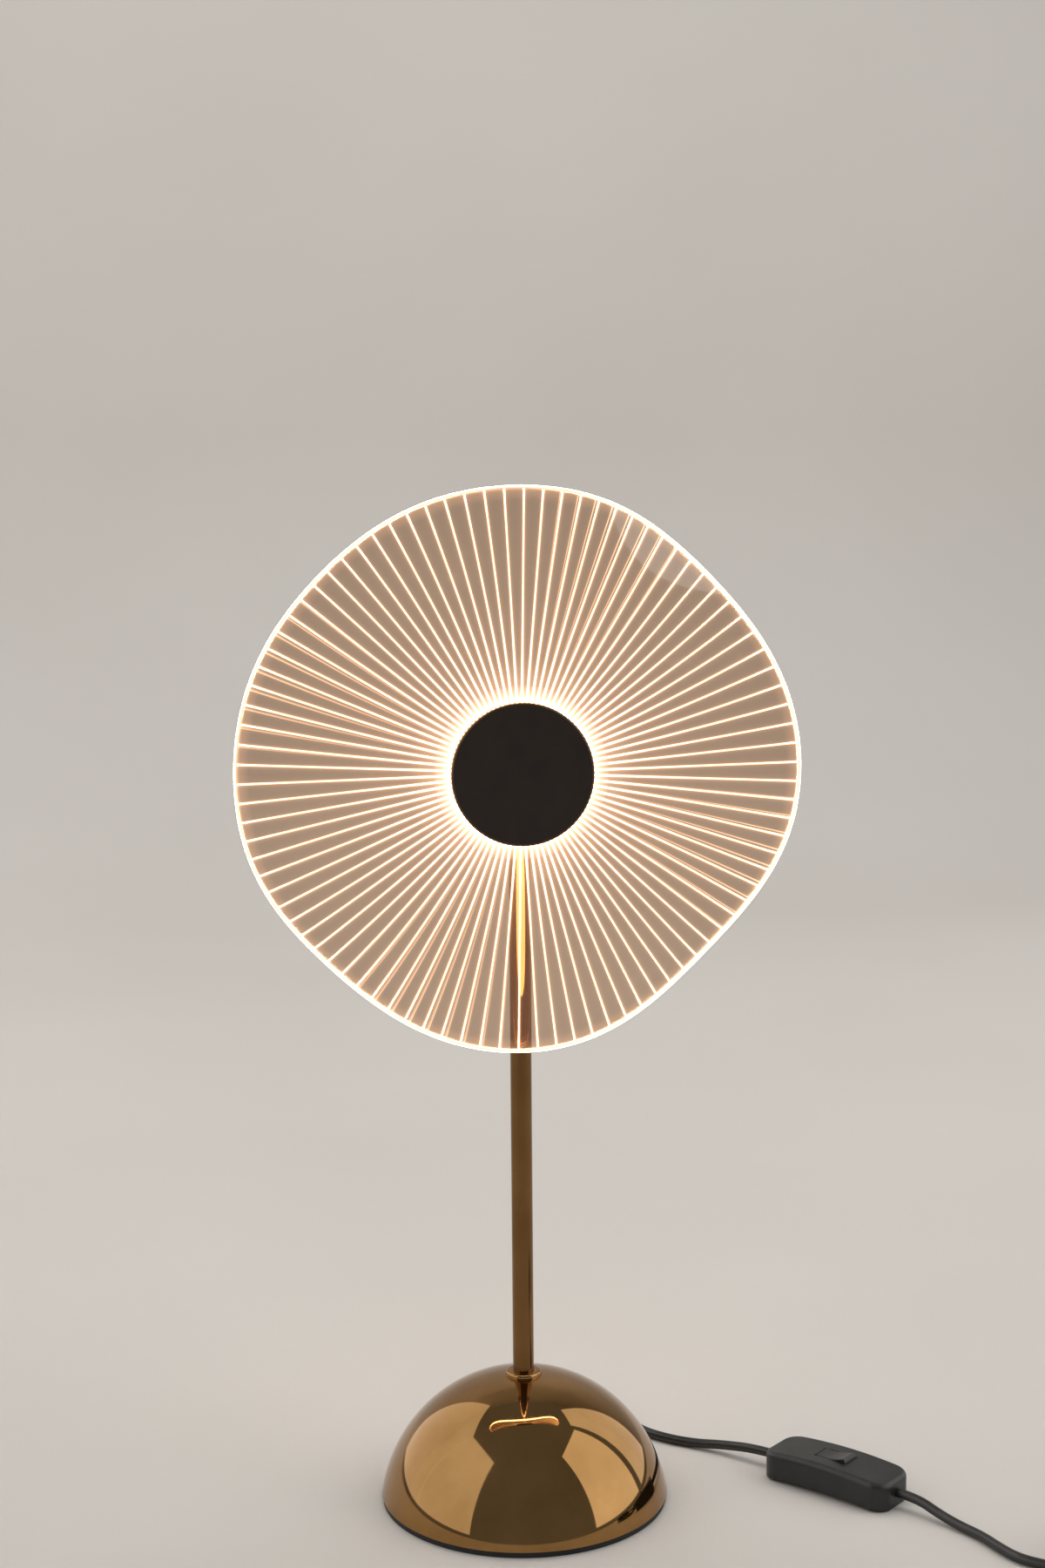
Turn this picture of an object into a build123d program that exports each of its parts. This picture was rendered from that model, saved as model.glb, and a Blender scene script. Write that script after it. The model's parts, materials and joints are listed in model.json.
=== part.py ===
"""Table lamp with an edge-lit acrylic shade.

A low domed metal base carries a thin pole. At the top of the pole a round hub clamps a clear acrylic
sheet, formed into four gentle lobes, and a ring of LEDs inside the hub lights the sheet from the edge
of its hole. The LED driver, the ballast and the cord's clamp are inside the base, and an arched inline
rocker switch sits on the mains cord.

Millimetres. The origin is on the table, under the pole. +Z is up, and the sheet faces -Y.
"""

import os
from math import atan2, cos, degrees, pi, radians, sin, sqrt, tan

from build123d import *

os.makedirs("parts", exist_ok=True)

# Clearances
slip = 0.05            # round parts that slide into each other
thread_gap = 0.03      # between a screw and its tapped hole, on the radius
clear_hole = 0.25      # between a screw and its clearance hole, on the radius
case_gap = 0.3         # between separate mouldings

# Base
base_radius = 75.0
foot_height = 3.0
foot_inset = 0.6       # the pad stops this far inside the dome's rim
dome_rise = 62.4       # from the foot pad to the flat at the top
dome_sheet = 1.5
seat_radius = 9.5      # flat at the top of the dome
plate_sheet = 1.5
weight_inset = 17.0    # from the dome's rim to the weight
weight_height = 12.0
weight_bore = 10.0     # radius of the hole in the middle
weight_chamfer = 2.0

# Base fixings
tab_count = 3
tab_first = -90.0      # angle of the first tab
tab_turn = 14.0        # degrees of the rim that one tab takes
tab_reach = 14.0       # from the dome's rim to the tab's inner end
tab_height = 12.0
tab_sheet = 2.0
tab_screw_inset = 9.0  # from the dome's rim to the screw
plate_screw_radius = 2.0
plate_screw_length = 5.5
plate_head_radius = 3.6
plate_head_height = 2.2
head_pocket = 1.0      # room round a screw's head in the foot pad
weight_screw_place = 40.0
weight_screw_length = 9.0

# Pole and its fixings
pole_radius = 5.5
pole_wall = 1.0
pole_into_block = 12.3 # how far the pole reaches into the hub's block
collar_radius = 9.3
collar_height = 2.8
collar_edge = 1.0
insert_length = 16.0
nipple_radius = 4.0
nipple_bore = 2.6
nipple_above = 13.0    # above the dome's flat
nipple_below = 11.5    # under the dome's flat
washer_radius = 8.6
washer_sheet = 1.2
star_radius = 7.4
star_sheet = 0.8
star_teeth = 12
nut_across = 13.0
nut_height = 5.0

# Hub
hub_height = 384.0     # the hub's axis above the table
pole_behind = 12.0     # from the sheet's middle back to the pole's axis
hub_radius = 36.0
hub_wall = 2.5
hub_back_depth = 19.0  # from the sheet's back to the hub's back
hub_front_depth = 7.5  # from the sheet's front to the hub's front
hub_face = 1.5
hub_edge = 1.6
gasket_sheet = 0.5
gasket_inset = 0.2
gasket_gap = 0.15      # between each gasket and the sheet
post_radius = 3.5
post_place = 20.0
post_first = 90.0
post_count = 3
hub_screw_radius = 1.5
hub_screw_grip = 7.0   # length of thread in the front cap
hub_head_radius = 2.8
hub_head_height = 1.8

# Block that holds the pole in the hub
block_width = 24.0
block_height = 13.0
block_wall = 1.5       # in front of and behind the pole
block_screw_spacing = 17.6
block_screw_above = 3.3 # from the middle of the block
block_screw_length = 9.0
grub_radius = 2.0
grub_length = 5.0
grub_below = 2.5       # from the middle of the block

# Light source
core_radius = 26.0
core_wall = 2.0
core_length = 9.0
core_web = 2.0
strip_sheet = 0.3
strip_width = 6.0
led_count = 30
led_length = 3.5
led_width = 2.8
led_height = 0.7
led_gap = 1.4          # from the LEDs to the edge of the sheet's hole
plug_width = 8.0
plug_depth = 3.0
plug_height = 6.0
plug_place = -8.0      # under the hub's axis

# Acrylic sheet
sheet_radius = 143.0   # before it is formed
sheet_thickness = 3.0
wave_depth = 24.0
wave_count = 4
rows_out = 8
rows_round = 8
lobe_spare = 2.0       # degrees that half a lobe is made too wide by, before its sides are cut
hole_spare = 2.0       # it is made this much too long at the hole as well
line_count = 90        # engraved lines, of which every other ridge has one on it
line_width = 0.9
line_depth = 0.7
line_inset = 2.0       # from the hole to where the lines start
line_spare = 0.8       # how far the cutter stands out behind the sheet and past its rim
line_steps = 8
slope_step = 0.1       # run over which a line's slope is taken

# Driver and wires
driver_length = 66.0
driver_width = 38.0
driver_height = 20.0
driver_corner = 4.0
driver_place = -6.0
driver_lid = 1.6
lid_inset = 1.2
ear_length = 7.0
ear_width = 12.0
ear_sheet = 2.5
ear_screw_radius = 1.5
ear_screw_length = 8.0
pad_sheet = 1.0
lead_radius = 0.8
lead_pitch = 1.9
loop_out = 12.0        # how far the wires stand out from the driver's ends
loop_under_nipple = 8.0

# Cord, strain relief and clamp
cord_radius = 2.5
cord_exit = 12.0       # height of the cord's hole in the dome
cord_straight = 12.0   # the cord runs straight out of the switch and the plug for this far
relief_neck = 4.5
relief_tail = 3.4
relief_length = 24.0   # outside the dome
relief_flange = 6.0
relief_flange_sheet = 2.2
sheath_end = 34.0      # distance of the sheath's end from the pole's axis
notch_end = 22.0
notch_width = 8.0
clamp_place = 46.0
clamp_length = 24.0
clamp_width = 8.0
clamp_sheet = 2.0
clamp_screw_spacing = 16.0
clamp_screw_length = 8.0

# Inline switch
switch_x = 163.9
switch_y = -16.0
switch_turn = -46.6    # heading of the switch's long axis
switch_length = 75.0
switch_width = 31.0
switch_corner = 9.0
switch_thickness = 14.5
switch_arch = 2.5
switch_split = 5.5     # height of the parting line
switch_wall = 1.8
switch_round = 3.0
switch_foot_round = 0.8
cord_in_switch = 7.4   # height of the cord where it enters
sheath_in_switch = 9.5
boss_place_x = 21.0
boss_place_y = 9.6
boss_radius = 3.4
switch_screw_radius = 1.3
switch_screw_length = 9.0
switch_head_radius = 2.4
switch_head_height = 1.5
plinth_length = 40.0
plinth_width = 9.0
plinth_height = 5.4
grip_place = 31.5      # from the middle of the switch to each cord grip
grip_spacing = 10.4
grip_post = 4.0
grip_sheet = 1.4
grip_screw_radius = 0.9
grip_screw_length = 5.0
grip_head_radius = 1.7
grip_head_height = 1.0

# Rocker and contacts
rocker_length = 19.0
rocker_width = 11.0
rocker_pivot = 14.2
rocker_tilt = 7.0      # each way from level
rocker_end_height = 4.1 # above the pivot
rocker_dip = 1.0
rocker_skirt = 1.2     # below the pivot
rocker_gap = 0.3
trunnion_radius = 1.2
trunnion_length = 1.8
lug_wall = 2.2
lug_drop = 2.6         # below the pivot
plunger_radius = 1.6
plunger_reach = 6.0    # below the pivot
plunger_top = 1.5      # below the pivot
sleeve_wall = 0.9
sleeve_reach = 4.2     # below the pivot
spring_room = 1.2      # top of the plunger's bore, above the pivot
rocker_round = 0.6
blade_height = 7.3
blade_sheet = 0.6
blade_length = 16.0
blade_width = 4.0
blade_ratio = 0.5
strip_metal = 0.8
terminal_width = 5.0
terminal_reach = 19.0
rivet_place = 7.0
knife_sheet = 1.0

# Coil and plug
coil_x = 292.0
coil_y = -118.0
coil_ring = 27.5
coil_thickness = 15.0
coil_height = 14.5
coil_lift = 0.8
coil_round = 6.0
tie_width = 9.0
tie_sheet = 0.7
tie_angle = 170.0
plug_x = 324.5
coil_leave = 13.0      # how far past the coil the cord turns to the plug
plug_y = -74.0
plug_body_width = 35.3
plug_body_thickness = 13.7
plug_body_length = 33.0
plug_neck_width = 15.0
plug_tail_length = 15.0
plug_tail_radius = 4.4
plug_tail_end = 3.2
plug_shoulder = 18.0   # length of the taper behind the plug's wide end
plug_corner = 3.0
plug_round = 2.5
groove_count = 4
groove_width = 1.2
groove_depth = 0.7
groove_pitch = 2.6
pin_radius = 2.0
pin_length = 19.0
pin_spacing = 18.6
pin_core = 1.4
pin_round = 1.2
sleeve_radius = 1.9
sleeve_length = 10.0

# Heights and radii that follow from the sizes above
foot_top = foot_height
plate_top = foot_top + plate_sheet
weight_top = plate_top + weight_height
seat_height = foot_top + dome_rise
ball_depth = (base_radius**2 - seat_radius**2 - dome_rise**2) / (2 * dome_rise)
ball_radius = sqrt(base_radius**2 + ball_depth**2)
ball_height = foot_top - ball_depth
inner_ball = ball_radius - dome_sheet


def dome_inside(height):
    """Radius of the dome's inside face at a height above the table."""
    return sqrt(inner_ball**2 - (height - ball_height) ** 2)


def dome_outside(height):
    """Radius of the dome's outside face at a height above the table."""
    return sqrt(ball_radius**2 - (height - ball_height) ** 2)


def bend_radii(points, share=0.45):
    """A radius for each corner of a route: as large as the shorter of its two runs allows."""
    radii = []
    for before, corner, after in zip(points, points[1:], points[2:]):
        run_in = Vector(*corner) - Vector(*before)
        run_out = Vector(*after) - Vector(*corner)
        half_turn = radians(run_in.get_angle(run_out)) / 2
        radii.append(share * min(run_in.length, run_out.length) / tan(half_turn))
    return radii


def upright_plane(angle):
    """The upright plane through the pole's axis and a direction, with its X outward."""
    turn = radians(angle)
    return Plane((0, 0, 0), x_dir=(cos(turn), sin(turn), 0), z_dir=(sin(turn), -cos(turn), 0))


def start_plane(path):
    """A plane square to the start of a path."""
    return Plane(origin=path @ 0, z_dir=path % 0)


# ---------------------------------------------------------------- base

tab_inner = base_radius - tab_reach
tab_screw_place = base_radius - tab_screw_inset
weight_radius = base_radius - weight_inset
tab_angles = [tab_first + 360 / tab_count * k for k in range(tab_count)]

with BuildPart() as foot_pad:
    with BuildSketch():
        Circle(base_radius - foot_inset)
        with PolarLocations(tab_screw_place, tab_count, start_angle=tab_first):
            Circle(plate_head_radius + head_pocket, mode=Mode.SUBTRACT)
        with PolarLocations(weight_screw_place, tab_count, start_angle=tab_first):
            Circle(plate_head_radius + head_pocket, mode=Mode.SUBTRACT)
    extrude(amount=foot_height)

foot_pad.part.label = "foot_pad"
export_step(foot_pad.part, "parts/foot_pad.step")

plate_radius = dome_inside(foot_top) - case_gap
with BuildPart() as base_plate:
    with BuildSketch(Plane.XY.offset(foot_top)):
        Circle(plate_radius)
        with PolarLocations(tab_screw_place, tab_count, start_angle=tab_first):
            Circle(plate_screw_radius + clear_hole, mode=Mode.SUBTRACT)
        with PolarLocations(weight_screw_place, tab_count, start_angle=tab_first):
            Circle(plate_screw_radius + clear_hole, mode=Mode.SUBTRACT)
    extrude(amount=plate_sheet)

base_plate.part.label = "base_plate"
export_step(base_plate.part, "parts/base_plate.step")

relief_start = dome_inside(cord_exit + relief_flange) - case_gap
inner_seat = sqrt(inner_ball**2 - (seat_height - dome_sheet - ball_height) ** 2)
with BuildPart() as base_dome:
    with BuildSketch(Plane.XZ):
        with BuildLine():
            outer = RadiusArc((base_radius, foot_top), (seat_radius, seat_height), -ball_radius)
            Line(outer @ 1, (nipple_radius + clear_hole, seat_height))
            Line((nipple_radius + clear_hole, seat_height),
                 (nipple_radius + clear_hole, seat_height - dome_sheet))
            Line((nipple_radius + clear_hole, seat_height - dome_sheet),
                 (inner_seat, seat_height - dome_sheet))
            RadiusArc((inner_seat, seat_height - dome_sheet), (dome_inside(foot_top), foot_top),
                      inner_ball)
            Line((dome_inside(foot_top), foot_top), (base_radius, foot_top))
        make_face()
    revolve(axis=Axis.Z)
    with BuildSketch(Plane.XZ.offset(-relief_start)):
        with Locations((0, cord_exit)):
            Circle(relief_neck + clear_hole)
    extrude(amount=-base_radius, mode=Mode.SUBTRACT)

base_dome.part.label = "base_dome"
export_step(base_dome.part, "parts/base_dome.step")

tab_ball = inner_ball - slip
tab_top = plate_top + tab_height


def tab_face(height, depth=0.0):
    """A point of a tab's upright leg, depth inside the dome's wall, at a height."""
    return (sqrt((tab_ball - depth) ** 2 - (height - ball_height) ** 2), height)


with BuildPart() as dome_tabs:
    for angle in tab_angles:
        with BuildSketch(upright_plane(angle - tab_turn / 2)):
            with BuildLine():
                Line((tab_inner, plate_top), tab_face(plate_top))
                RadiusArc(tab_face(plate_top), tab_face(tab_top), -tab_ball)
                Line(tab_face(tab_top), tab_face(tab_top, tab_sheet))
                RadiusArc(tab_face(tab_top, tab_sheet), tab_face(plate_top + tab_sheet, tab_sheet),
                          tab_ball - tab_sheet)
                Line(tab_face(plate_top + tab_sheet, tab_sheet), (tab_inner, plate_top + tab_sheet))
                Line((tab_inner, plate_top + tab_sheet), (tab_inner, plate_top))
            make_face()
        revolve(axis=Axis.Z, revolution_arc=tab_turn)
    with BuildSketch(Plane.XY.offset(plate_top)):
        with PolarLocations(tab_screw_place, tab_count, start_angle=tab_first):
            Circle(plate_screw_radius + thread_gap)
    extrude(amount=tab_sheet, mode=Mode.SUBTRACT)

dome_tabs.part.label = "dome_tabs"
export_step(dome_tabs.part, "parts/dome_tabs.step")

with BuildPart() as plate_screws:
    with BuildSketch(Plane.XY.offset(foot_top)):
        with PolarLocations(tab_screw_place, tab_count, start_angle=tab_first):
            Circle(plate_head_radius)
    extrude(amount=-plate_head_height)
    fillet(plate_screws.faces().sort_by(Axis.Z)[:tab_count].edges(), plate_head_height / 3)
    with BuildSketch(Plane.XY.offset(foot_top)):
        with PolarLocations(tab_screw_place, tab_count, start_angle=tab_first):
            Circle(plate_screw_radius)
    extrude(amount=plate_screw_length)

plate_screws.part.label = "plate_screws"
export_step(plate_screws.part, "parts/plate_screws.step")

clamp_holes = [(-clamp_screw_spacing / 2, clamp_place), (clamp_screw_spacing / 2, clamp_place)]
ear_place = driver_length / 2 + ear_length / 2
ear_holes = [(-ear_place, driver_place), (ear_place, driver_place)]
with BuildPart() as base_weight:
    with BuildSketch(Plane.XY.offset(plate_top)):
        Circle(weight_radius)
        Circle(weight_bore, mode=Mode.SUBTRACT)
        with Locations((0, (notch_end + weight_radius) / 2 + notch_width)):
            Rectangle(notch_width, weight_radius - notch_end + 2 * notch_width, mode=Mode.SUBTRACT)
    extrude(amount=weight_height)
    chamfer(base_weight.edges().filter_by(GeomType.CIRCLE).group_by(Axis.Z)[-1], weight_chamfer)
    with BuildSketch(Plane.XY.offset(plate_top)):
        with PolarLocations(weight_screw_place, tab_count, start_angle=tab_first):
            Circle(plate_screw_radius + thread_gap)
    extrude(amount=weight_screw_length, mode=Mode.SUBTRACT)
    with BuildSketch(Plane.XY.offset(weight_top)):
        with Locations(*clamp_holes, *ear_holes):
            Circle(ear_screw_radius + thread_gap)
    extrude(amount=-ear_screw_length, mode=Mode.SUBTRACT)

base_weight.part.label = "base_weight"
export_step(base_weight.part, "parts/base_weight.step")

with BuildPart() as weight_screws:
    with BuildSketch(Plane.XY.offset(foot_top)):
        with PolarLocations(weight_screw_place, tab_count, start_angle=tab_first):
            Circle(plate_head_radius)
    extrude(amount=-plate_head_height)
    fillet(weight_screws.faces().sort_by(Axis.Z)[:tab_count].edges(), plate_head_height / 3)
    with BuildSketch(Plane.XY.offset(foot_top)):
        with PolarLocations(weight_screw_place, tab_count, start_angle=tab_first):
            Circle(plate_screw_radius)
    extrude(amount=weight_screw_length)

weight_screws.part.label = "weight_screws"
export_step(weight_screws.part, "parts/weight_screws.step")

# ---------------------------------------------------------------- driver, cord clamp and wires

driver_bottom = weight_top + pad_sheet
driver_top = driver_bottom + driver_height
driver_plane = Plane((0, driver_place, driver_bottom))

with BuildPart() as driver_pad:
    with BuildSketch(Plane((0, driver_place, weight_top))):
        Rectangle(driver_length, driver_width)
        Circle(weight_bore / 2, mode=Mode.SUBTRACT)
    extrude(amount=pad_sheet)

driver_pad.part.label = "driver_pad"
export_step(driver_pad.part, "parts/driver_pad.step")

with BuildPart() as led_driver:
    with BuildSketch(driver_plane):
        RectangleRounded(driver_length, driver_width, driver_corner)
    extrude(amount=driver_height - driver_lid)
    with BuildSketch(Plane((0, driver_place, weight_top))):
        with Locations((-ear_place + ear_length / 4, 0), (ear_place - ear_length / 4, 0)):
            Rectangle(1.5 * ear_length, ear_width)
        with BuildSketch(mode=Mode.SUBTRACT):
            Rectangle(driver_length, ear_width)
    extrude(amount=ear_sheet)
    with BuildSketch(Plane((0, driver_place, weight_top))):
        with Locations((-ear_place, 0), (ear_place, 0)):
            Circle(ear_screw_radius + clear_hole)
    extrude(amount=ear_sheet, mode=Mode.SUBTRACT)

led_driver.part.label = "led_driver"
export_step(led_driver.part, "parts/led_driver.step")

with BuildPart() as driver_cover:
    with BuildSketch(Plane((0, driver_place, driver_top - driver_lid))):
        RectangleRounded(driver_length - 2 * lid_inset, driver_width - 2 * lid_inset,
                         driver_corner - lid_inset)
    extrude(amount=driver_lid)
    fillet(driver_cover.faces().sort_by(Axis.Z)[-1].edges(), driver_lid / 2)

driver_cover.part.label = "driver_cover"
export_step(driver_cover.part, "parts/driver_cover.step")

with BuildPart() as driver_screws:
    with BuildSketch(Plane.XY.offset(weight_top + ear_sheet)):
        with Locations(*ear_holes):
            Circle(2 * ear_screw_radius)
    extrude(amount=ear_screw_radius)
    fillet(driver_screws.faces().sort_by(Axis.Z)[-2:].edges(), ear_screw_radius / 2)
    with BuildSketch(Plane.XY.offset(weight_top + ear_sheet)):
        with Locations(*ear_holes):
            Circle(ear_screw_radius)
    extrude(amount=-ear_screw_length)

driver_screws.part.label = "driver_screws"
export_step(driver_screws.part, "parts/driver_screws.step")

with BuildPart() as cord_clamp:
    with BuildSketch(Plane((0, clamp_place, weight_top))):
        SlotOverall(clamp_length, clamp_width)
        with GridLocations(clamp_screw_spacing, 0, 2, 1):
            Circle(ear_screw_radius + clear_hole, mode=Mode.SUBTRACT)
    extrude(amount=clamp_sheet)
    with BuildSketch(Plane((0, clamp_place, weight_top))):
        Rectangle(notch_width - 2 * case_gap, clamp_width)
    extrude(amount=-(weight_top - cord_exit - cord_radius - slip))

cord_clamp.part.label = "cord_clamp"
export_step(cord_clamp.part, "parts/cord_clamp.step")

with BuildPart() as cord_clamp_screws:
    with BuildSketch(Plane.XY.offset(weight_top + clamp_sheet)):
        with Locations(*clamp_holes):
            Circle(2 * ear_screw_radius)
    extrude(amount=ear_screw_radius)
    fillet(cord_clamp_screws.faces().sort_by(Axis.Z)[-2:].edges(), ear_screw_radius / 2)
    with BuildSketch(Plane.XY.offset(weight_top + clamp_sheet)):
        with Locations(*clamp_holes):
            Circle(ear_screw_radius)
    extrude(amount=-clamp_screw_length)

cord_clamp_screws.part.label = "cord_clamp_screws"
export_step(cord_clamp_screws.part, "parts/cord_clamp_screws.step")

relief_end = dome_outside(cord_exit) + relief_length
with BuildPart() as strain_relief:
    with BuildSketch(Plane.YZ):
        with BuildLine():
            Polyline((relief_start - relief_flange_sheet, cord_exit + cord_radius + slip),
                     (relief_start - relief_flange_sheet, cord_exit + relief_flange),
                     (relief_start, cord_exit + relief_flange),
                     (relief_start, cord_exit + relief_neck),
                     (dome_outside(cord_exit) + relief_neck / 2, cord_exit + relief_neck))
            Spline((dome_outside(cord_exit) + relief_neck / 2, cord_exit + relief_neck),
                   (relief_end, cord_exit + relief_tail),
                   tangents=((1, 0), (1, 0)))
            Polyline((relief_end, cord_exit + relief_tail),
                     (relief_end, cord_exit + cord_radius + slip),
                     (relief_start - relief_flange_sheet, cord_exit + cord_radius + slip))
        make_face()
    revolve(axis=Axis((0, 0, cord_exit), (0, 1, 0)))

strain_relief.part.label = "strain_relief"
export_step(strain_relief.part, "parts/strain_relief.step")

with BuildPart() as cord_sheath:
    with BuildSketch(Plane.XZ.offset(-sheath_end)):
        with Locations((0, cord_exit)):
            Circle(cord_radius)
    extrude(amount=-(relief_end - sheath_end))

cord_sheath.part.label = "cord_sheath"
export_step(cord_sheath.part, "parts/cord_sheath.step")

driver_end = driver_length / 2
lead_height = driver_bottom + driver_height / 2
half_pitch = lead_pitch / 2


def mains_route(side):
    """From the sheath's end up over the ballast and round to the driver's left end."""
    step = side * half_pitch
    return [
        (step, sheath_end, cord_exit),
        (step, notch_end + relief_neck, cord_exit),
        (step - cord_radius, notch_end + cord_radius, lead_height - cord_radius + step),
        (-driver_end - loop_out + 2, driver_place + driver_width / 2, lead_height + step),
        (-driver_end - loop_out, driver_place, lead_height + step),
        (-driver_end, driver_place, lead_height + step),
    ]


with BuildPart() as mains_leads:
    for side in (-1, 1):
        with BuildLine() as route:
            FilletPolyline(*mains_route(side), radius=bend_radii(mains_route(side)))
        with BuildSketch(start_plane(route.line)):
            Circle(lead_radius)
        sweep(path=route.line)

mains_leads.part.label = "mains_leads"
export_step(mains_leads.part, "parts/mains_leads.step")

# ---------------------------------------------------------------- pole

block_middle = hub_height - post_place - block_height / 2 + post_radius / 2
pole_top = block_middle - block_height / 2 + pole_into_block
pole_bore = pole_radius - pole_wall

with BuildPart() as pole:
    with BuildSketch(Plane.XY.offset(seat_height)):
        Circle(pole_radius)
        Circle(pole_bore, mode=Mode.SUBTRACT)
    extrude(amount=pole_top - seat_height)

pole.part.label = "pole"
export_step(pole.part, "parts/pole.step")

with BuildPart() as pole_collar:
    with BuildSketch(Plane.XZ):
        with BuildLine():
            Line((pole_radius + slip, seat_height), (collar_radius, seat_height))
            Line((collar_radius, seat_height), (collar_radius, seat_height + collar_edge))
            Spline((collar_radius, seat_height + collar_edge),
                   (pole_radius + slip, seat_height + collar_height),
                   tangents=((0, 1), (-1, 0)))
            Line((pole_radius + slip, seat_height + collar_height),
                 (pole_radius + slip, seat_height))
        make_face()
    revolve(axis=Axis.Z)

pole_collar.part.label = "pole_collar"
export_step(pole_collar.part, "parts/pole_collar.step")

with BuildPart() as pole_insert:
    with BuildSketch(Plane.XY.offset(seat_height)):
        Circle(pole_bore)
        Circle(nipple_radius + thread_gap, mode=Mode.SUBTRACT)
    extrude(amount=insert_length)

pole_insert.part.label = "pole_insert"
export_step(pole_insert.part, "parts/pole_insert.step")

nipple_bottom = seat_height - nipple_below
with BuildPart() as pole_nipple:
    with BuildSketch(Plane.XY.offset(nipple_bottom)):
        Circle(nipple_radius)
        Circle(nipple_bore, mode=Mode.SUBTRACT)
    extrude(amount=nipple_below + nipple_above)
    chamfer(pole_nipple.edges().filter_by(GeomType.CIRCLE).sort_by(SortBy.RADIUS)[-2:], 0.5)

pole_nipple.part.label = "pole_nipple"
export_step(pole_nipple.part, "parts/pole_nipple.step")

washer_top = seat_height - dome_sheet
with BuildPart() as pole_washer:
    with BuildSketch(Plane.XY.offset(washer_top)):
        Circle(washer_radius)
        Circle(nipple_radius + clear_hole, mode=Mode.SUBTRACT)
    extrude(amount=-washer_sheet)

pole_washer.part.label = "pole_washer"
export_step(pole_washer.part, "parts/pole_washer.step")

star_top = washer_top - washer_sheet
with BuildPart() as star_washer:
    with BuildSketch(Plane.XY.offset(star_top)):
        Circle(star_radius)
        with PolarLocations(star_radius, star_teeth):
            Circle(star_sheet, mode=Mode.SUBTRACT)
        Circle(nipple_radius + clear_hole, mode=Mode.SUBTRACT)
    extrude(amount=-star_sheet)

star_washer.part.label = "star_washer"
export_step(star_washer.part, "parts/star_washer.step")

nut_top = star_top - star_sheet
with BuildPart() as pole_nut:
    with BuildSketch(Plane.XY.offset(nut_top)):
        RegularPolygon(nut_across / 2, 6, major_radius=False)
        Circle(nipple_radius + thread_gap, mode=Mode.SUBTRACT)
    extrude(amount=-nut_height)

pole_nut.part.label = "pole_nut"
export_step(pole_nut.part, "parts/pole_nut.step")

# ---------------------------------------------------------------- hub

sheet_plane = Plane((0, -pole_behind, hub_height), x_dir=(1, 0, 0), z_dir=(0, -1, 0))
half_sheet = sheet_thickness / 2
rear_rim = -half_sheet - gasket_gap - gasket_sheet
rear_face = -half_sheet - hub_back_depth
front_rim = half_sheet + gasket_gap + gasket_sheet
front_face = half_sheet + hub_front_depth
hub_inside = hub_radius - hub_wall
core_back = -core_length / 2
block_front = -pole_behind + pole_radius + block_wall
block_back = rear_face + hub_face
block_place = block_middle - hub_height
block_screw_place = block_place + block_screw_above

with BuildPart() as hub_back:
    with BuildSketch(sheet_plane.offset(rear_face)):
        Circle(hub_radius)
    extrude(amount=rear_rim - rear_face)
    fillet(hub_back.faces().sort_by(Axis.Y)[-1].edges(), hub_edge)
    with BuildSketch(sheet_plane.offset(block_back)):
        Circle(hub_inside)
    extrude(amount=rear_rim - block_back, mode=Mode.SUBTRACT)
    with BuildSketch(sheet_plane.offset(block_back)):
        with PolarLocations(post_place, post_count, start_angle=post_first):
            Circle(post_radius)
    extrude(amount=core_back - block_back)
    with BuildSketch(sheet_plane.offset(rear_face)):
        with PolarLocations(post_place, post_count, start_angle=post_first):
            Circle(hub_screw_radius + clear_hole)
        with Locations((0, block_screw_place)):
            with GridLocations(block_screw_spacing, 0, 2, 1):
                Circle(hub_screw_radius + clear_hole)
    extrude(amount=core_back - rear_face, mode=Mode.SUBTRACT)
    with BuildSketch(Plane.XY.offset(hub_height - hub_radius)):
        Circle(pole_radius + clear_hole)
    extrude(amount=hub_radius - hub_inside + hub_wall, mode=Mode.SUBTRACT)

hub_back.part.label = "hub_back"
export_step(hub_back.part, "parts/hub_back.step")

with BuildPart() as pole_block:
    with BuildSketch(sheet_plane.offset(block_back)):
        with Locations((0, block_place)):
            Rectangle(block_width, block_height)
            with Locations((0, block_screw_above)):
                with GridLocations(block_screw_spacing, 0, 2, 1):
                    Circle(hub_screw_radius + thread_gap, mode=Mode.SUBTRACT)
    extrude(amount=block_front - block_back)
    with BuildSketch(Plane.XY.offset(block_middle - block_height / 2)):
        Circle(pole_radius + slip)
    extrude(amount=block_height, mode=Mode.SUBTRACT)
    with BuildSketch(Plane.YZ.offset(pole_radius)):
        with Locations((0, block_middle - grub_below)):
            Circle(grub_radius + thread_gap)
    extrude(amount=block_width, mode=Mode.SUBTRACT)

pole_block.part.label = "pole_block"
export_step(pole_block.part, "parts/pole_block.step")

with BuildPart() as grub_screw:
    with BuildSketch(Plane.YZ.offset(pole_radius + slip)):
        with Locations((0, block_middle - grub_below)):
            Circle(grub_radius)
    extrude(amount=grub_length)
    with BuildSketch(Plane.YZ.offset(pole_radius + slip + grub_length)):
        with Locations((0, block_middle - grub_below)):
            RegularPolygon(grub_radius / 2, 6)
    extrude(amount=-grub_length / 2, mode=Mode.SUBTRACT)

grub_screw.part.label = "grub_screw"
export_step(grub_screw.part, "parts/grub_screw.step")

with BuildPart() as block_screws:
    with BuildSketch(sheet_plane.offset(rear_face)):
        with Locations((0, block_screw_place)):
            with GridLocations(block_screw_spacing, 0, 2, 1):
                Circle(hub_head_radius)
    extrude(amount=-hub_head_height)
    fillet(block_screws.faces().sort_by(Axis.Y)[-2:].edges(), hub_head_height / 2)
    with BuildSketch(sheet_plane.offset(rear_face)):
        with Locations((0, block_screw_place)):
            with GridLocations(block_screw_spacing, 0, 2, 1):
                Circle(hub_screw_radius)
    extrude(amount=block_screw_length)

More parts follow.
